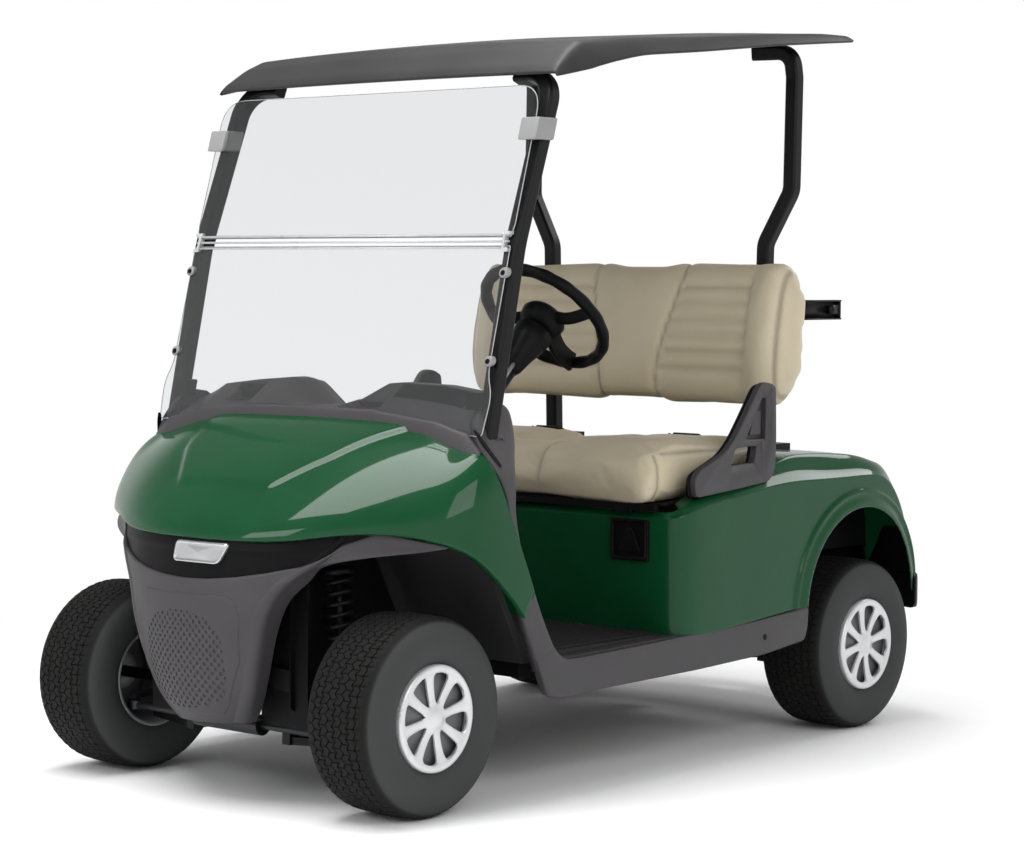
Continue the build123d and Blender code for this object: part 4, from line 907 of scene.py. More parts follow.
BACK_OUTLINE = [(474, 868), (420, 886), (410, 960), (420, 1060), (448, 1190), (478, 1246),
                (522, 1250), (550, 1222), (542, 1100), (526, 900)]
PLEATS = (965, 1010, 1055, 1100, 1145, 1188)  # z of the back's sewn channels


def back_form(grid):
    """Bolsters at the outer ends, a dished place each side and a dip over the saddle."""
    x, y, z = grid[..., 0], grid[..., 1], grid[..., 2]
    share = place_share(x)
    front = smooth(20, -40, y - (456 + 0.14 * (z - 868)))
    bolster = np.exp(-((np.abs(x - 20) - 455) / 36) ** 2)
    y = y + front * (8 * share - 20 * bolster - 4 * (1 - share))
    z = z - 11 * (1 - share) * smooth(1120, 1240, z) + 12 * (1 - share) * smooth(950, 880, z)
    return np.stack([x, y, z], -1)


def back_lines(points):
    """The seams beside the saddle and round the end panels; channels across each place."""
    x, y, z = points.T
    spread = 97 + 53 * smooth(880, 1240, z) ** 1.5
    seam = np.abs(np.abs(x - SADDLE_X) - spread)
    seam = np.minimum(seam, np.abs(np.abs(x) - 524) + 40 * smooth(505, 560, y))
    inside = (np.abs(x - SADDLE_X) > spread + 8) & (np.abs(x - 15) < 415) & (y < 470)
    gap = np.min(np.abs(z[:, None] - np.array(PLEATS)), axis=1)
    return seam, np.where(inside, gap, NO_SEAM)


CUSHION_OUTLINE = [(-66, 648), (-88, 658), (-99, 714), (-66, 782), (40, 797), (220, 788),
                   (360, 792), (404, 764), (406, 700), (396, 670)]


def cushion_form(grid):
    """Two places with a saddle between them, raised a little at their outer sides."""
    x, y, z = grid[..., 0], grid[..., 1], grid[..., 2]
    share = place_share(x)
    top = smooth(735, 785, z)
    bolster = np.exp(-((np.abs(x - 15) - 440) / 50) ** 2)
    z = z + top * (6 * bolster * smooth(-60, 60, y) - 34 * (1 - share) * smooth(-90, 120, y))
    y = y + 14 * (1 - share) * smooth(40, -80, y) * smooth(680, 760, z)
    return np.stack([x, y, z], -1)


def cushion_lines(points):
    """Seams from the front edge back beside the saddle, and along each end's upper edge."""
    x, y, z = points.T
    spread = 116 + 34 * smooth(-80, 60, y)
    saddle = np.abs(np.abs(x - SADDLE_X) - spread)
    saddle = np.where(z > 690, saddle, NO_SEAM)
    edge = np.abs(np.where(y < -30, y + 52, z - 776))
    side = np.where(np.abs(x) > 500, edge, NO_SEAM)
    return np.minimum(saddle, side), np.full(len(x), NO_SEAM)


FRAME_PLATE_LINE = [(500, 900), (540, 1100), (560, 1226)]  # (y, z) of its front face
FRAME_PLATE_HALF = 388


def rest_on_frame(mesh):
    """Flattens the rear of the back where it rests on the steel frame's plate."""
    p = points_of(mesh)
    line_y, line_z = np.array(FRAME_PLATE_LINE, float).T
    past = np.maximum(p[:, 1] - np.interp(p[:, 2], line_z, line_y) + 1, 0)
    p[:, 1] -= past * smooth(FRAME_PLATE_HALF + 26, FRAME_PLATE_HALF, np.abs(p[:, 0]))
    move_points(mesh, p)


def build_seat():
    """The back on the chassis and the bottom on the lid."""
    back = sewn_pad("seat_back_pad", pillow(BACK_OUTLINE, 546, 62, 52, 60), back_form, back_lines,
                    "chassis", "vinyl_beige")
    rest_on_frame(back.data)
    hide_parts("seat_back")
    bottom = sewn_pad("seat_bottom_pad", pillow(CUSHION_OUTLINE, 520, 62, 44, 46), cushion_form,
                      cushion_lines, "seat_lid", "vinyl_beige")
    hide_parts("seat_cushion")


def build_seat_edge_and_gap_shadow():
    """A black strip under the bottom's front: the board's edge, and painted shadow of the gap
    beneath the cushion.
    """
    strip = plate([(-74, 634), (-74, 650), (-58, 650), (-58, 634)], -522, 522)
    piece("seat_board_edge_and_gap_shadow", *strip, black_abs, "seat_lid", "black_steel", flat=True)


build_seat()
build_seat_edge_and_gap_shadow()

# ------------------------------------------------------------------ rear body
REAR_PLAN = [  # x, y round one side, from the middle of the seat front to the tail
    (0, -66), (250, -66), (470, -65.5), (536, -63), (566, -54), (584, -36), (592, -12),
    (597, 40), (598, 150), (598, 300), (598, 440), (598, 560), (598, 685), (597, 790),
    (595, 861), (590, 930), (583, 985), (573, 1035), (560, 1066),
]
REAR_HEIGHTS = [  # y, then z of the side's top, of the chamfer's top and of the deck's edge,
    # and the insets of the last two
    (-66, 614, 621, 630, 7, 16), (-12, 634, 642, 650, 10, 26), (150, 658, 668, 680, 14, 32),
    (300, 676, 696, 712, 21, 36), (440, 684, 712, 745, 26, 46), (560, 684, 706, 749, 24, 50),
    (685, 684, 701, 743, 19, 50), (790, 683, 695, 731, 14, 50), (861, 668, 681, 715, 11, 50),
    (910, 632, 648, 698, 10, 52), (960, 566, 590, 646, 10, 54), (1005, 480, 512, 572, 10, 54),
    (1035, 424, 450, 502, 10, 54), (1066, 372, 382, 398, 10, 50),
]
REAR_LOW = 345
ARCH_Y, ARCH_Z, ARCH_RADIUS, FLARE_RADIUS = REAR_AXLE_Y - 30, 335, 265, 314
WELL_HALF, WELL_FRONT = 430, 700
POCKET_HALF, POCKET_REAR, POCKET_FLOOR = 530, 436, 652


def sill_line(y):
    """Lower edge of the rear body, on the rocker."""
    low = np.interp(y, [-70, 29, 463, 500, 501, 1070], [318, 324, 356, 350, REAR_LOW, REAR_LOW])
    return low + 40 * smooth(985, 1010, y)


def flare(y, z):
    """How far the wheel flare stands proud: a band round the arch with a rolled outer bead, a
    shallow trough and a lip that thickens to the arch's edge."""
    r = np.hypot(y - ARCH_Y, z - ARCH_Z)
    band = smooth(FLARE_RADIUS + 3, FLARE_RADIUS - 4, r)
    bead = 4.5 * np.exp(-((r - FLARE_RADIUS + 9) / 6.0) ** 2)
    return band * (4.0 + bead + 9.0 * smooth(FLARE_RADIUS - 14, ARCH_RADIUS + 4, r))


def shoulder(side_z, bevel_z, deck_z, bevel, inset):
    """Insets and heights above the wall: a chamfer, then a quarter-sine rise to the deck."""
    flat = np.array([0.1, 0.5, 0.9])
    t = np.linspace(0, 1, 12)[1:]
    inward = np.concatenate([bevel * flat, bevel + (inset - bevel) * t], 1)
    z = np.concatenate([side_z + (bevel_z - side_z) * flat,
                        bevel_z + (deck_z - bevel_z) * np.sin(t * math.pi / 2)], 1)
    return inward, z


def rear_side():
    """One side of the shell: a wall, a shoulder and a strip of deck, along the plan curve.
    Points inside the arch are set on its edge, and the faces between them are left out."""
    plan = through(REAR_PLAN, 420)
    slope = np.gradient(plan, axis=0)
    slope /= np.linalg.norm(slope, axis=1, keepdims=True)
    inward = np.stack([-slope[:, 1], slope[:, 0]], -1)
    y = plan[:, 1]
    heights = np.array(REAR_HEIGHTS, float)
    columns = spline(heights[:, 0], heights[:, 1:], y).T[..., None]
    side_z, _, deck_z, _, inset = columns
    low = sill_line(y)[:, None]
    wall_z = low + (side_z - low) * np.linspace(0, 1, 76)
    proud = flare(np.broadcast_to(y[:, None], wall_z.shape), wall_z) * (plan[:, :1] > 500)
    shoulder_in, shoulder_z = shoulder(*columns)
    x_edge = plan[:, :1] + inward[:, :1] * inset
    reach = np.where(y[:, None] > POCKET_REAR, x_edge - WELL_HALF, x_edge - POCKET_HALF)
    reach = np.where(y[:, None] < -40, 6.0, np.maximum(reach, 2.0))
    strip = np.linspace(0, 1, 10)[1:]
    strip_z = deck_z + 3.0 * np.sin(strip * math.pi / 2) * (y > -40)[:, None]
    depth = np.concatenate([-proud, shoulder_in, inset + reach * strip], 1)
    z = np.concatenate([wall_z, shoulder_z, strip_z], 1)
    grid = np.stack([plan[:, :1] + inward[:, :1] * depth,
                     plan[:, 1:] + inward[:, 1:] * depth, z], -1)
    radius = np.hypot(grid[..., 1] - ARCH_Y, grid[..., 2] - ARCH_Z)
    opened = (radius < ARCH_RADIUS) & (grid[..., 0] > 480)
    pull = np.where(opened, ARCH_RADIUS / np.maximum(radius, 1), 1.0)
    grid[..., 1] = ARCH_Y + (grid[..., 1] - ARCH_Y) * pull
    grid[..., 2] = ARCH_Z + (grid[..., 2] - ARCH_Z) * pull
    faces = grid_faces(*grid.shape[:2])
    return grid.reshape(-1, 3), faces[~opened.ravel()[faces].all(1)]


def deck_between():
    """The deck behind the seat, from the pocket to the bag well, joined to both side strips."""
    y = np.linspace(POCKET_REAR, WELL_FRONT, 40)
    heights = np.array(REAR_HEIGHTS, float)
    deck_z = spline(heights[:, 0], heights[:, 1:], y)[:, 2] + 3
    x = np.linspace(-WELL_HALF - 4, WELL_HALF + 4, 60)
    grid = np.stack(np.broadcast_arrays(x[None], y[:, None], deck_z[:, None]), -1)
    front = np.stack(np.broadcast_arrays(
        np.linspace(-POCKET_HALF, POCKET_HALF, 60)[None], POCKET_REAR + 0 * y[:6, None],
        np.linspace(POCKET_FLOOR, deck_z[0], 6)[:, None]), -1)
    return (grid, grid_faces(40, 60)), (front, grid_faces(6, 60))


def build_rear_body():
    """The green shell with the seat pocket, in one piece that replaces the CAD shell."""
    bridge, pocket_rear = deck_between()
    side = rear_side()
    sides = mirrored((side[0], side[1][:, ::-1]))
    vertices, faces = merged([sides, bridge, pocket_rear])
    shell = piece("rear_body_skin", vertices, faces, green_clearcoat, slot="green_paint")
    thickened(shell, 4.0)
    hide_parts("rear_body")
    walls = []
    for sign in (1, -1):
        inner = sorted((sign * POCKET_HALF, sign * (POCKET_HALF + 4)))
        walls.append(plate([(-52, 648), (-52, 652), (150, 678), (300, 704), (440, 744),
                            (440, 648)], *inner))
        low, high = sorted((sign * 384, sign * 390)), sorted((sign * 440, sign * 446))
        walls.append(plate([(505, 348), (505, 470), (1004, 470), (1004, 348)], *low))
        walls.append(plate([(sign * 384, 402), (sign * 574, 402), (sign * 568, 470),
                            (sign * 540, 520), (sign * 384, 540)], 1002, 1006, axis="y"))
        walls.append(plate([(505, 466), (505, 690), (860, 676), (930, 640), (985, 560),
                            (1010, 466)], *high))
        shelf = sorted((sign * 384, sign * 446))
        walls.append(plate([(505, 466), (505, 470), (1005, 470), (1005, 466)], *shelf))
    walls.append(plate([(-58, POCKET_FLOOR - 4), (-58, POCKET_FLOOR - 0.5),
                        (POCKET_REAR, POCKET_FLOOR - 0.5), (POCKET_REAR, POCKET_FLOOR - 4)],
                       -POCKET_HALF, POCKET_HALF))
    piece("rear_inner_walls", *merged(walls), black_abs, slot="black_plastic", flat=True)


build_rear_body()

# ------------------------------------------------------------------ pillar and sill mouldings
SILL_LOOP = [  # (y, z) from the sill's rear end forward to the pillar's foot, and back below
    (496, 354), (273, 341), (18, 331), (-223, 324), (-440, 320), (-495, 321), (-526, 338),
    (-542, 358), (-604, 334), (-586, 290), (-566, 246), (-545, 236), (-500, 232), (-375, 236),
    (19, 240), (297, 248), (478, 266), (492, 300),
]
PILLAR_RIBS = [  # front (y, z) and rear (y, z) of the pillar trim, from its top downward
    (-674, 922, -628, 915), (-702, 904, -612, 905), (-730, 868, -607, 874),
    (-740, 834, -622, 832), (-738, 800, -642, 800), (-720, 752, -667, 752),
    (-708, 704, -680, 704), (-694, 640, -673, 637), (-672, 585, -655, 576),
    (-650, 530, -634, 530), (-642, 490, -613, 490), (-650, 445, -590, 446),
    (-634, 396, -566, 402), (-610, 345, -536, 352), (-590, 300, -506, 312),
]
PILLAR_SLOT = [(-754, 864), (-743, 858), (-706, 784), (-711, 776), (-722, 790), (-748, 842)]
SILL_HOLE = (296, 294)
PILLAR_LEAN = 84.0


def leaned(points):
    """Draws points in towards the middle above the hood's side, as the pillar trim leans."""
    moved = np.array(points, float)
    shift = PILLAR_LEAN * smooth(700, 930, moved[..., 2])
    moved[..., 0] -= np.sign(moved[..., 0]) * shift
    return moved


def pillar_trim():
    """The left pillar trim: the spline of its ribs, its edges rolled back."""
    ribs = through(PILLAR_RIBS, 90)
    u = np.linspace(0, 1, 15)
    roll = 7.0 * (1 - np.sqrt(np.maximum(1 - np.abs(2 * u - 1) ** 6, 0.0)))
    y = ribs[:, :1] + (ribs[:, 2:3] - ribs[:, :1]) * u
    z = ribs[:, 1:2] + (ribs[:, 3:4] - ribs[:, 1:2]) * u
    outer = leaned(np.stack([np.broadcast_to(597.2 - roll, y.shape), y, z], -1))
    inner = outer[:, ::-1] - (20.0, 0, 0)
    grid = np.concatenate([outer, inner], 1)
    return grid.reshape(-1, 3), closed_faces(*grid.shape[:2])


def build_sills():
    """The pillar trim that runs down behind the hood and the sill it turns into, with a ledge
    beside the mat, and black plates that paint the shade in the strut's slot and in a hole near
    the tail."""
    loop = rounded(SILL_LOOP, 12, 4)
    lit = [pillar_trim(), plate(loop, 573, 597.5, chamfer=6.0),
           plate(rounded([(-478, 300), (-478, 321), (-38, 330), (-38, 300)], 4, 3), 541, 575,
                 chamfer=2.0)]
    # black plates on the trim are painted shade in the strut's slot and in a hole
    slot, slot_faces = plate(rounded(PILLAR_SLOT, 4, 3), 596.0, 598.4)
    dark = [(leaned(slot), slot_faces),
            plate(disc_outline(*SILL_HOLE, 8.0), 596.0, 598.6, chamfer=0.8)]
    sills = piece("side_mouldings", *mirrored(merged(lit)), charcoal_tpo, slot="grey_plastic")
    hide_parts("rocker_panels")
    piece("side_moulding_slot_and_hole_shade", *mirrored(merged(dark)), black_abs, slot="black_plastic",
          flat=True)


def disc_outline(y, z, radius, count=24):
    """A circle's points."""
    t = np.linspace(0, 2 * math.pi, count, endpoint=False)
    return np.stack([y + radius * np.cos(t), z + radius * np.sin(t)], -1)


# ------------------------------------------------------------------ dash
DASH_LINE = [  # x, z of the pods' ridge
    (-545, 842), (-505, 884), (-404, 936), (-284, 950), (-160, 960), (-138, 957), (-119, 946),
    (-52, 897), (26, 897), (152, 953), (200, 957), (335, 954), (429, 943), (505, 886), (545, 842),
]
DASH_RIM = [(-545, 812), (-500, 852), (-405, 876), (-200, 896), (200, 896), (405, 876),
            (500, 852), (545, 812)]
DASH_BINS = [  # x from, x to, y from, y to, floor z
    (-336, -240, -716, -640, 902),
    (62, 206, -722, -628, 893),
]
DASH_BAND = (214, 432, -682, -640)  # x from, x to, y from, y to


def dash_height(x, y):
    """The dash as a height over (x, y): a rim along the hood, then two pods with bins."""
    rim = np.interp(x, *np.array(DASH_RIM, float).T)
    ridge = np.interp(x, *np.array(DASH_LINE, float).T)
    z = rim + (np.maximum(ridge, rim - 4) - rim) * np.clip((y + 726) / 90, 0, 1)
    z = z - 9 * smooth(-600, -556, y) - 52 * np.clip((-744 - y) / 18, 0, 1) ** 2
    for x_from, x_to, y_from, y_to, floor in DASH_BINS:
        inside = (smooth(0, 5, x - x_from) * smooth(0, 5, x_to - x)
                  * smooth(0, 4, y - y_from) * smooth(0, 4, y_to - y))
        z = z + (np.minimum(z, floor) - z) * inside
    return z


def build_dash():
    """The dash's top with its rear wall, black sheets in its bins that paint their shade, and
    black fittings on it.
    """
    x = np.linspace(-545, 545, 300)[:, None]
    y = np.concatenate([np.linspace(-762, -735, 10), np.linspace(-732, -556, 92)])[None]
    top = np.stack(np.broadcast_arrays(x, y, dash_height(x, y)), -1)
    top[..., 1] -= 0.72 * smooth(430, 545, np.abs(x)) * np.maximum(y + 700, 0)
    drop = np.linspace(0, 1, 14)[1:]
    wall = np.repeat(top[:, -1:], len(drop), 1).copy()
    wall[..., 2] += (715 - wall[..., 2]) * drop[None]
    wall[..., 1] += 6 * np.sin(np.minimum(drop * 6, 1) * math.pi / 2)[None] - 55 * drop[None] ** 2
    dash = surface("dash_moulding", np.concatenate([top, wall], 1)[:, ::-1], charcoal_tpo,
                   slot="grey_plastic")
    thickened(dash, 3.0)
    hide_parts("dash")
    shade_and_fittings = []
    # black sheets on each bin's back wall and floor are painted shade
    for x_from, x_to, y_from, y_to, floor in DASH_BINS:
        level = float(dash_height(np.array(x_from - 3.0), np.array(y_to + 4.0)))
        shade_and_fittings.append(plate(rect(x_from + 3, floor - 1, x_to - 3, level - 4), y_to - 10,
                             y_to - 6, axis="y"))
        shade_and_fittings.append(plate(rect(x_from + 4, y_from + 4, x_to - 4, y_to - 6), floor - 2,
                             floor + 1.5, axis="z"))
    for x_from, x_to in ((-450, -160), (150, 440)):
        shade_and_fittings.append(plate(rounded(rect(x_from, 796, x_to, 868), 12, 4), -566, -550,
                             axis="y", chamfer=3.0))
    x = np.linspace(*DASH_BAND[:2], 40)[:, None]
    y = np.linspace(*DASH_BAND[2:], 10)[None]
    strip = np.stack(np.broadcast_arrays(x, y, dash_height(x, y) + 1.6), -1)
    shade_and_fittings.append((strip.reshape(-1, 3), grid_faces(40, 10)[:, ::-1]))
    made = piece("dash_bin_shade_and_fittings", *merged(shade_and_fittings), black_abs, slot="black_plastic")
    thickened(made, 1.0)


# ------------------------------------------------------------------ windshield
PANE_LINE = [(-742, 844), (-629, 1285), (-530, 1628)]  # (y, z) foot, hinge, top
HINGE_Z = (1275, 1304)


def pane_y(z):
    """y of the panes' front face at a height; the upper line carries on past its end."""
    z = np.asarray(z, float)
    (foot_y, foot_z), (hinge_y, hinge_z), (top_y, top_z) = PANE_LINE
    slope = (top_y - hinge_y) / (top_z - hinge_z)
    low = np.interp(z, [foot_z, hinge_z], [foot_y, hinge_y])
    return np.where(z > hinge_z, hinge_y + slope * (z - hinge_z), low)


def on_pane(outline, front, back, chamfer=0.0):
    """An outline of (x, z) points laid on the pane line, from front to back behind it."""
    vertices, faces = plate(outline, front, back, axis="y", chamfer=chamfer)
    vertices = vertices.copy()
    vertices[:, 1] += pane_y(vertices[:, 2])
    return vertices, faces


UPPER_PANE = [(-524, 1300), (524, 1300), (530, 1330), (530, 1652), (-530, 1652), (-530, 1330)]
LOWER_PANE = [(-540, 847), (-549, 940), (-528, 985), (-528, 1279), (528, 1279), (528, 985),
              (549, 940), (540, 847), (300, 858), (0, 862), (-300, 858)]
PANE_THICKNESS = 5.0


def build_windshield():
    """Two clear panes with polished edges, the pale hinge between them, ring bolts and clips."""
    loops = [("windshield_upper_pane", "windshield_upper",
              rounded(UPPER_PANE, [4, 4, 8, 70, 70, 8], 9)),
             ("windshield_lower_pane", "windshield_lower",
              rounded(LOWER_PANE, [10, 30, 30, 4, 4, 30, 30, 10, 60, 60, 60], 9))]
    rims = []
    for name, node, loop in loops:
        pane = piece(name, *on_pane(loop, 0.0, PANE_THICKNESS), acrylic, slot="clear_pane",
                     flat=True)
        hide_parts(node)
        path = np.stack([loop[:, 0], pane_y(loop[:, 1]) + PANE_THICKNESS / 2, loop[:, 1]], -1)
        rims.append(tube(path, 1.3, 6, closed=True))
    piece("windshield_edges", *merged(rims), sawn_acrylic, slot="clear_pane")
    bars = []
    for z in HINGE_Z:
        bars.append(on_pane(rect(-522, z - 2.5, 522, z + 2.5), -4, PANE_THICKNESS + 3,
                            chamfer=1.0))
    bars.append(on_pane(rect(-520, 1287, 520, 1292), -5, 8, chamfer=1.5))
    for sign in (1, -1):
        bars.append(on_pane(np.array([(508, 1266), (526, 1266), (526, 1274), (514, 1274),
                                      (514, 1305), (526, 1305), (526, 1313), (508, 1313)])
                            * (sign, 1), -7, 10, chamfer=1.0))
    hinge = piece("windshield_hinge_bars", *merged(bars), sawn_acrylic, slot="black_steel")
    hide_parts("windshield_hinge")
    clips, rings, cores = [], [], []
    for sign in (1, -1):
        clip = np.array(rect(496, 1524, 550, 1576)) * (sign, 1)
        clips.append(on_pane(rounded(clip, 5, 3), -9, 58, chamfer=2.0))
        for z in (1218, 1017):
            rings.append(on_pane(disc_outline(sign * 526, z, 12), -5, 12, chamfer=2.0))
            cores.append(on_pane(disc_outline(sign * 526, z, 6), -7.5, -4.0, chamfer=0.8))
        knob = np.array(rect(470, 905, 520, 945)) * (sign, 1)
        cores.append(on_pane(rounded(knob, 6, 3), 12, 44, chamfer=2.0))
    grips = piece("windshield_clip_blocks", *merged(clips + rings), grey_nylon,
                  slot="zinc_steel")
    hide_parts("windshield_clips")
    piece("windshield_bolt_heads", *merged(cores), black_abs, slot="black_plastic")


# ------------------------------------------------------------------ steering wheel and column
WHEEL_CENTRE = np.array([285.0, -215.0, 1111.0])
WHEEL_TILT = math.radians(44.4)
WHEEL_AXIS = np.array([0, math.cos(WHEEL_TILT), math.sin(WHEEL_TILT)])
WHEEL_UP = np.array([0, -math.sin(WHEEL_TILT), math.cos(WHEEL_TILT)])
WHEEL_RIM, WHEEL_GRIP = 162.0, 15.0


def on_wheel(x, up, out):
    """A point in the steering wheel's own plane: across, up the wheel, towards the driver."""
    across = np.array([1.0, 0, 0])
    return (WHEEL_CENTRE + np.multiply.outer(x, across) + np.multiply.outer(up, WHEEL_UP)
            + np.multiply.outer(out, WHEEL_AXIS))


def turned_shape(profile, count=48):
    """A profile of (radius, out) points turned about the steering axis."""
    t = np.linspace(0, 2 * math.pi, count, endpoint=False)
    profile = np.asarray(profile, float)
    r, out = profile[:, :1], profile[:, 1:]
    grid = on_wheel(r * np.cos(t), r * np.sin(t), out + 0 * t)
    return grid, [block[:, ::-1] for block in closed_faces(len(profile), count)]


def build_steering():
    """The wheel: a thick rim with finger swells, a domed hub and three spokes. The column: a
    shroud that tapers to a jacket, with two grey strips along its top that paint its silver
    highlights."""
    t = np.linspace(0, 2 * math.pi, 96, endpoint=False)
    grip = WHEEL_GRIP + 0.8 * np.cos(18 * t)
    rim = tube(on_wheel(WHEEL_RIM * np.cos(t), WHEEL_RIM * np.sin(t), 0 * t), grip, 18,
               closed=True)
    hub = turned_shape([(30, -46), (46, -40), (56, -22), (58, -6), (52, 4), (34, 9), (8, 11)])
    spokes = []
    for angle, wide in ((math.radians(8), 15), (math.radians(172), 15), (math.radians(270), 24)):
        run = np.linspace(38, WHEEL_RIM - 6, 12)
        drop = -14 * np.sin((run - 38) / (WHEEL_RIM - 44) * math.pi)
        path = on_wheel(run * math.cos(angle), run * math.sin(angle), drop - 4)
        spokes.append(tube(path, (wide if angle < 4 else 7, 7 if angle < 4 else wide, 4)))
    wheel = piece("steering_wheel_grip", *merged([rim, hub, *spokes]), black_abs,
                  "steering_wheel", "black_plastic")
    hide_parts("steering_wheel")
    shroud = turned_shape([(18, -190), (26, -172), (34, -130), (44, -92), (50, -58), (36, -50)])
    jacket = turned_shape([(16, -560), (18, -556), (18, -176), (14, -172)], 28)
    column = piece("steering_column_shroud", *merged([shroud, jacket]), black_abs,
                   slot="black_plastic")
    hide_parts("steering_column")
    highlight_strips = []
    # grey strips half sunk into the jacket are painted highlights
    for side in (-1, 1):
        path = on_wheel(np.full(6, side * 15.0), np.full(6, 13.0), np.linspace(-420, -168, 6))
        highlight_strips.append(tube(path, 5.0, 12))
    piece("steering_column_highlight_strips", *merged(highlight_strips), rim_grey, slot="black_plastic")


# ------------------------------------------------------------------ hip restraints
RESTRAINT_OUTLINE = [
    (8, 666), (150, 676), (318, 690), (345, 718), (349, 800), (345, 930), (332, 940),
    (296, 946), (272, 936), (251, 908), (205, 850), (167, 805), (125, 772), (74, 752),
    (30, 736), (12, 726), (2, 706),
]
RESTRAINT_WINDOW = [(150, 738), (252, 742), (262, 786), (170, 782)]
RESTRAINT_SLOT = [(212, 802), (298, 800), (300, 905), (284, 908)]


def cut_by(obj, cutters):
    """Cuts closed shapes out of a piece."""
    tools = []
    for vertices, faces in cutters:
        mesh = bpy.data.meshes.new("cutter")
        rows = [row for block in faces for row in np.asarray(block).tolist()]
        mesh.from_pydata((np.asarray(vertices, float).reshape(-1, 3) * MM).tolist(), [], rows)
        tool = placed("cutter", mesh)
        cut = obj.modifiers.new("cut", "BOOLEAN")
        cut.operation, cut.object, cut.solver = "DIFFERENCE", tool, "EXACT"
        cut.use_self = True
        tools.append(tool)
    baked(obj)
    for tool in tools:
        mesh = tool.data
        bpy.data.objects.remove(tool)
        bpy.data.meshes.remove(mesh)


def build_restraints():
    """A charcoal moulded arm beside each end of the seat, with a low window and a tall slot whose
    floor holds a raised pad. A black sheet behind it, set lower and forward, is painted shadow
    under the arm."""
    outline = rounded(RESTRAINT_OUTLINE, 16, 4)
    shapes, cutters, pads = [], [], []
    for sign in (1, -1):
        shapes.append(plate(outline, *sorted((sign * 572, sign * 590)), chamfer=3.0))
        cutters.append(plate(rounded(RESTRAINT_WINDOW, 10, 4),
                             *sorted((sign * 550, sign * 600))))
        cutters.append(plate(rounded(RESTRAINT_SLOT, 8, 4), *sorted((sign * 576, sign * 600))))
        pads.append(plate(rounded([(240, 812), (287, 812), (288, 874), (262, 874)], 5, 3),
                          *sorted((sign * 574, sign * 583)), chamfer=2.0))
    arms = piece("hip_restraint_arms", *merged(shapes), charcoal_tpo, slot="grey_plastic")
    cut_by(arms, cutters)
    # a black sheet set lower and forward behind the arm: painted shadow under it
    shadow_outline = outline + (-3.0, -5.0)
    behind = piece("hip_restraint_painted_shadow", *mirrored(plate(shadow_outline, 562, 571)), black_abs,
                   slot="black_plastic")
    cut_by(behind, [plate(rounded(RESTRAINT_WINDOW, 10, 4), -600, 600)])
    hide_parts("hip_restraints")
    piece("hip_restraint_pads", *merged(pads), charcoal_tpo, slot="grey_plastic")


# ------------------------------------------------------------------ charging socket, latch
def build_charge_port():
    """The charging socket's frame, with a triangular door in its recess."""
    frame_plate = plate(rounded(rect(384, 508, 503, 612), 6, 4), -74, -65, axis="y",
                        chamfer=2.0)
    port = piece("charge_port_frame", *frame_plate, black_abs, slot="black_plastic")
    cut_by(port, [plate(rounded(rect(394, 518, 493, 602), 8, 4), -80, -70, axis="y")])
    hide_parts("charge_port")
    door = plate(rounded([(412, 530), (478, 530), (452, 588), (436, 588)], 7, 4), -74.5, -68,
                 axis="y", chamfer=2.0)
    latch = plate(rounded(rect(402, 626, 450, 641), 4, 3), -76, -60, axis="y", chamfer=2.0)
    piece("charge_port_door", *merged([door, latch]), black_abs, slot="black_plastic")


# ------------------------------------------------------------------ bag rack, tail bumper
def build_bag_rack():
    """Two channel brackets behind the rear struts and the tube between them."""
    parts = [tube([(x, 900, 1123) for x in np.linspace(-398, 398, 24)], 11, 20)]
    for sign in (1, -1):
        parts.append(plate([(640, 1098), (640, 1148), (905, 1148), (905, 1098)],
                           *sorted((sign * 396, sign * 400))))
        for z in (1096, 1146):
            parts.append(plate([(640, z), (640, z + 4), (906, z + 4), (906, z)],
                               *sorted((sign * 380, sign * 412))))
        parts.append(plate([(902, 1098), (902, 1148), (906, 1148), (906, 1098)],
                           *sorted((sign * 384, sign * 410))))
        parts.append(plate([(850, 1112), (850, 1136), (884, 1136), (884, 1112)],
                           *sorted((sign * 399, sign * 414))))
    rack = piece("bag_rack_brackets", *merged(parts), powder_coat, slot="black_steel")
    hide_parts("bag_rack")


def build_bumper():
    """The tail bumper: a rounded section carried along the arc of the tail, closing in at both
    ends."""
    s = np.linspace(-1, 1, 121)
    x = 598 * s
    outer, inner = 1163 - 125 * s ** 2, 1104 - 96 * s ** 2
    closing = np.sqrt(np.maximum(1 - np.clip((np.abs(s) - 0.965) / 0.035, 0, 1) ** 2, 0.04))
    ring = rounded([(0, 0), (1, 0), (1, 1), (0, 1)], [0.1, 0.25, 0.25, 0.1], 6)
    y = inner[:, None] + (outer - inner)[:, None] * ring[None, :, 0] * closing[:, None]
    z = 350 + (ring[None, :, 1] - 0.5) * 98 * (0.6 + 0.4 * closing[:, None])
    groove = np.exp(-((z - 358) / 7) ** 2) * (ring[None, :, 0] > 0.7)
    y = y - 4 * groove
    grid = np.stack([np.broadcast_to(x[:, None], y.shape), y, z], -1)
    faces = [block[:, ::-1] for block in closed_faces(*grid.shape[:2])]
    bumper = piece("tail_bumper", grid, faces, black_abs, slot="black_plastic")
    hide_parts("rear_bumper")


# ------------------------------------------------------------------ front springs, floor ribs
SHOCK_FOOT, SHOCK_TOP = np.array([282.0, -911, 142]), np.array([262.0, -917, 556])


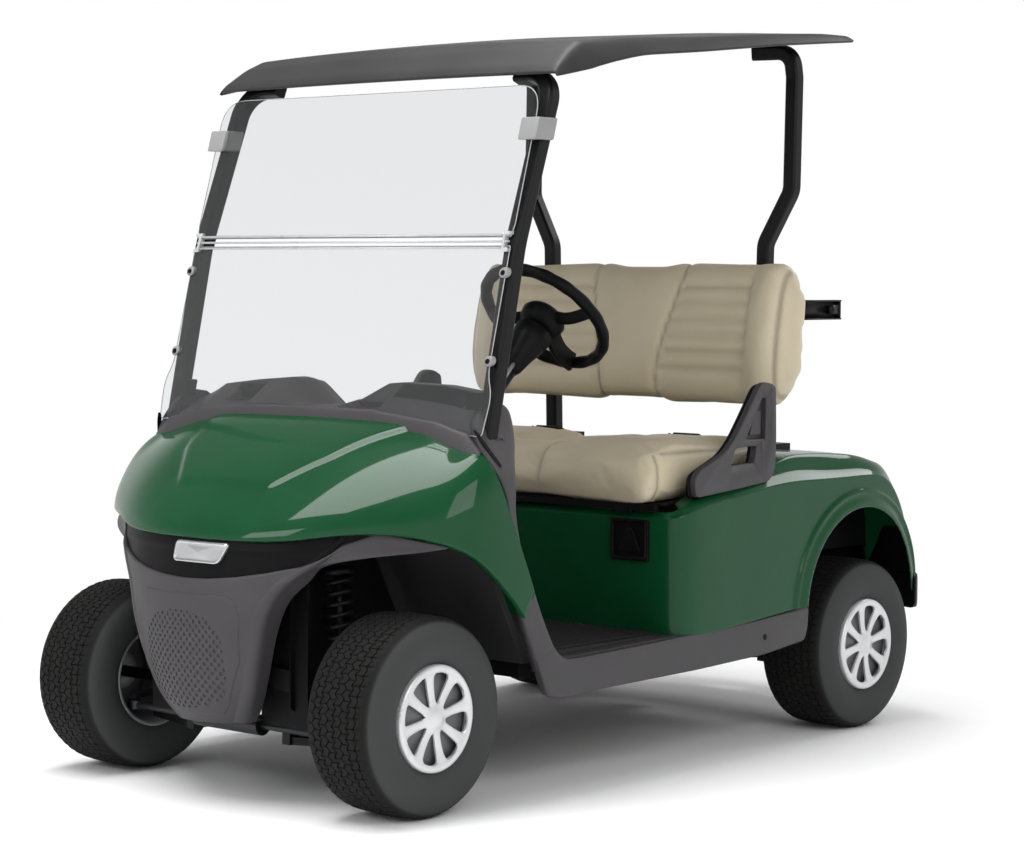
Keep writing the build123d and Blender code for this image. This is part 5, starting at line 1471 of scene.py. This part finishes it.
def build_shocks():
    """Each front damper: body, rod and cap on its axis, with the coil round them."""
    run = SHOCK_TOP - SHOCK_FOOT
    length = float(np.linalg.norm(run))
    axis = run / length
    side = np.cross(axis, (0, 1, 0))
    side /= np.linalg.norm(side)
    third = np.cross(axis, side)
    parts = []
    for low, high, radius in ((14, 180, 19), (180, length - 6, 9), (150, 160, 34),
                              (length - 26, length - 12, 34)):
        parts.append(tube([SHOCK_FOOT + axis * low, SHOCK_FOOT + axis * high], radius, 24))
    t = np.linspace(0, 1, 280)
    turn = t * 9 * 2 * math.pi
    coil = (SHOCK_FOOT + axis * (160 + t * (length - 186))[:, None]
            + 29 * (np.cos(turn)[:, None] * side + np.sin(turn)[:, None] * third))
    parts.append(tube(coil, 5.2, 12))
    near = merged(parts)
    shocks = piece("front_coilovers", *mirrored(near), powder_coat, slot="black_steel")
    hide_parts("front_shocks")


def build_floor_ribs():
    """Raised ribs along the floor mat."""
    ribs = []
    for x in np.arange(-510, 511, 17.0):
        ribs.append(plate([(-548, 332.5), (-545, 336), (-48, 336), (-45, 332.5)], x - 3.2,
                          x + 3.2))
    piece("floor_ribs", *merged(ribs), floor_rubber, slot="rubber_mat", flat=True)


def build_front_screens():
    """Dark splash screens between the snout and the front wheels, and the bulkhead that closes
    the space below the dash."""
    screen = plate([(112, 175), (262, 175), (262, 560), (230, 600), (112, 600)], -1012, -1007,
                   axis="y")
    bulkhead = plate(rect(-560, 590, 560, 738), -648, -643, axis="y")
    piece("front_splash_screens", *merged([mirrored(screen), bulkhead]), black_abs,
          slot="black_plastic", flat=True)


build_front_screens()
build_sills()
build_dash()
build_windshield()
build_steering()
build_restraints()
build_charge_port()
build_bag_rack()
build_bumper()
build_shocks()
build_floor_ribs()

# ------------------------------------------------------------------ camera
CAMERA_PLACE = (4.45523, -5.18268, 1.21096)
CAMERA_AZIMUTH, CAMERA_ELEVATION, CAMERA_ROLL = 0.710506479, 0.0599386443, 0.00600795131
CAMERA_LENS = 92.385


def aimed(back, place, roll=0.0):
    """The matrix of a camera or lamp that looks against back, level but for its roll."""
    right = np.cross((0, 0, 1), back)
    right = right / np.linalg.norm(right)
    up = np.cross(back, right)
    matrix = np.eye(4)
    matrix[:3, :3] = np.stack([math.cos(roll) * right + math.sin(roll) * up,
                               -math.sin(roll) * right + math.cos(roll) * up, back], 1)
    matrix[:3, 3] = place
    return Matrix(matrix.tolist())


def look_through():
    """The camera, at the viewing angle, with no shift and no depth of field."""
    data = bpy.data.cameras.new("camera")
    data.lens, data.sensor_width = CAMERA_LENS, 36
    data.clip_start, data.clip_end = 0.1, 200
    made = placed("camera", data)
    a, e = CAMERA_AZIMUTH, CAMERA_ELEVATION
    back = np.array([math.sin(a) * math.cos(e), -math.cos(a) * math.cos(e), math.sin(e)])
    made.matrix_world = aimed(back, CAMERA_PLACE, CAMERA_ROLL)
    bpy.context.scene.camera = made


look_through()


# ------------------------------------------------------------------ floor and light
def seen_directly(tree):
    """1 for camera, glossy and transmitted rays, 0 for the rays that light the object."""
    path = add(tree, "LightPath")
    some = add(tree, "Math", {"operation": "MAXIMUM"})
    tree.links.new(path.outputs["Is Camera Ray"], some.inputs[0])
    tree.links.new(path.outputs["Is Transmission Ray"], some.inputs[1])
    every = add(tree, "Math", {"operation": "MAXIMUM"})
    tree.links.new(some.outputs[0], every.inputs[0])
    tree.links.new(path.outputs["Is Glossy Ray"], every.inputs[1])
    return every


FLOOR_HALF = 40.0


def studio_floor():
    """Pale matte floor that fades to the white of the backdrop a few metres out."""
    v = np.array([(-1, -1, 0), (1, -1, 0), (1, 1, 0), (-1, 1, 0)]) * FLOOR_HALF
    mesh = bpy.data.meshes.new("floor")
    mesh.from_pydata(v.tolist(), [], [(0, 1, 2, 3)])
    made = placed("floor", mesh)
    material, tree, out = blank("PaleStudioFloor")
    mesh.materials.append(material)
    place = add(tree, "TexCoord")
    scaled = add(tree, "Mapping", inputs={"Vector": (place, "Object"),
                                          "Scale": (1.0, 0.8, 1.0)})
    distance = add(tree, "VectorMath", {"operation": "LENGTH"})
    tree.links.new(scaled.outputs["Vector"], distance.inputs[0])
    far = add(tree, "MapRange", {"interpolation_type": "SMOOTHSTEP"},
              {"Value": (distance, "Value"), "From Min": 1.25, "From Max": 2.8})
    direct = seen_directly(tree)
    amount = add(tree, "Math", {"operation": "MULTIPLY"})
    tree.links.new(far.outputs["Result"], amount.inputs[0])
    tree.links.new(direct.outputs[0], amount.inputs[1])
    matte = add(tree, "BsdfDiffuse", inputs={"Color": linear("#fbfbfb")})
    white = add(tree, "Emission", inputs={"Color": (1, 1, 1, 1), "Strength": 1.0})
    mix = add(tree, "MixShader", inputs={"Fac": (amount, 0)})
    tree.links.new(matte.outputs[0], mix.inputs[1])
    tree.links.new(white.outputs[0], mix.inputs[2])
    tree.links.new(mix.outputs[0], out.inputs["Surface"])


def studio_world():
    """White where it is seen, greying overhead, and a soft even grey where it lights the
    object."""
    world = bpy.data.worlds.new("studio")
    world.use_nodes = True
    tree = world.node_tree
    tree.nodes.clear()
    direct = seen_directly(tree)
    ray = add(tree, "NewGeometry")
    split = add(tree, "SeparateXYZ", inputs={"Vector": (ray, "Incoming")})
    backdrop = add(tree, "MapRange", {"interpolation_type": "SMOOTHSTEP"},
                   {"Value": (split, "Z"), "From Min": -0.55, "From Max": -0.12, "To Min": 0.3,
                    "To Max": 1.0})
    strength = add(tree, "MapRange", inputs={"Value": (direct, 0), "To Min": 0.55})
    tree.links.new(backdrop.outputs["Result"], strength.inputs["To Max"])
    light = add(tree, "Background", inputs={"Color": (1, 1, 1, 1),
                                            "Strength": (strength, "Result")})
    out = tree.nodes.new("ShaderNodeOutputWorld")
    tree.links.new(light.outputs[0], out.inputs["Surface"])
    bpy.context.scene.world = world


LAMPS = [  # name, place (m), aimed at (m), width and height (m), power (W)
    ("overhead", (-0.3, -1.2, 4.6), (-0.3, -1.19, 0), 1.7, 5.2, 230),
    ("nose_fill", (-0.8, -5.6, 3.2), (0, -0.8, 0.6), 2.4, 1.6, 62),
    ("side_fill", (5.0, -1.8, 3.4), (0.1, 0.1, 0.8), 3.4, 3.0, 95),
    ("tail_soft", (0.9, 5.0, 3.9), (0.4, 0.6, 0.7), 2.2, 1.5, 60),
]


def studio_lamps():
    """Soft area lamps."""
    for name, place, aim, width, height, power in LAMPS:
        data = bpy.data.lights.new(name, "AREA")
        data.shape, data.size, data.size_y, data.energy = "RECTANGLE", width, height, power
        back = np.subtract(place, aim)
        placed(name, data).matrix_world = aimed(back / np.linalg.norm(back), place)


studio_floor()
studio_world()
studio_lamps()
bpy.context.scene.view_settings.view_transform = "Standard"
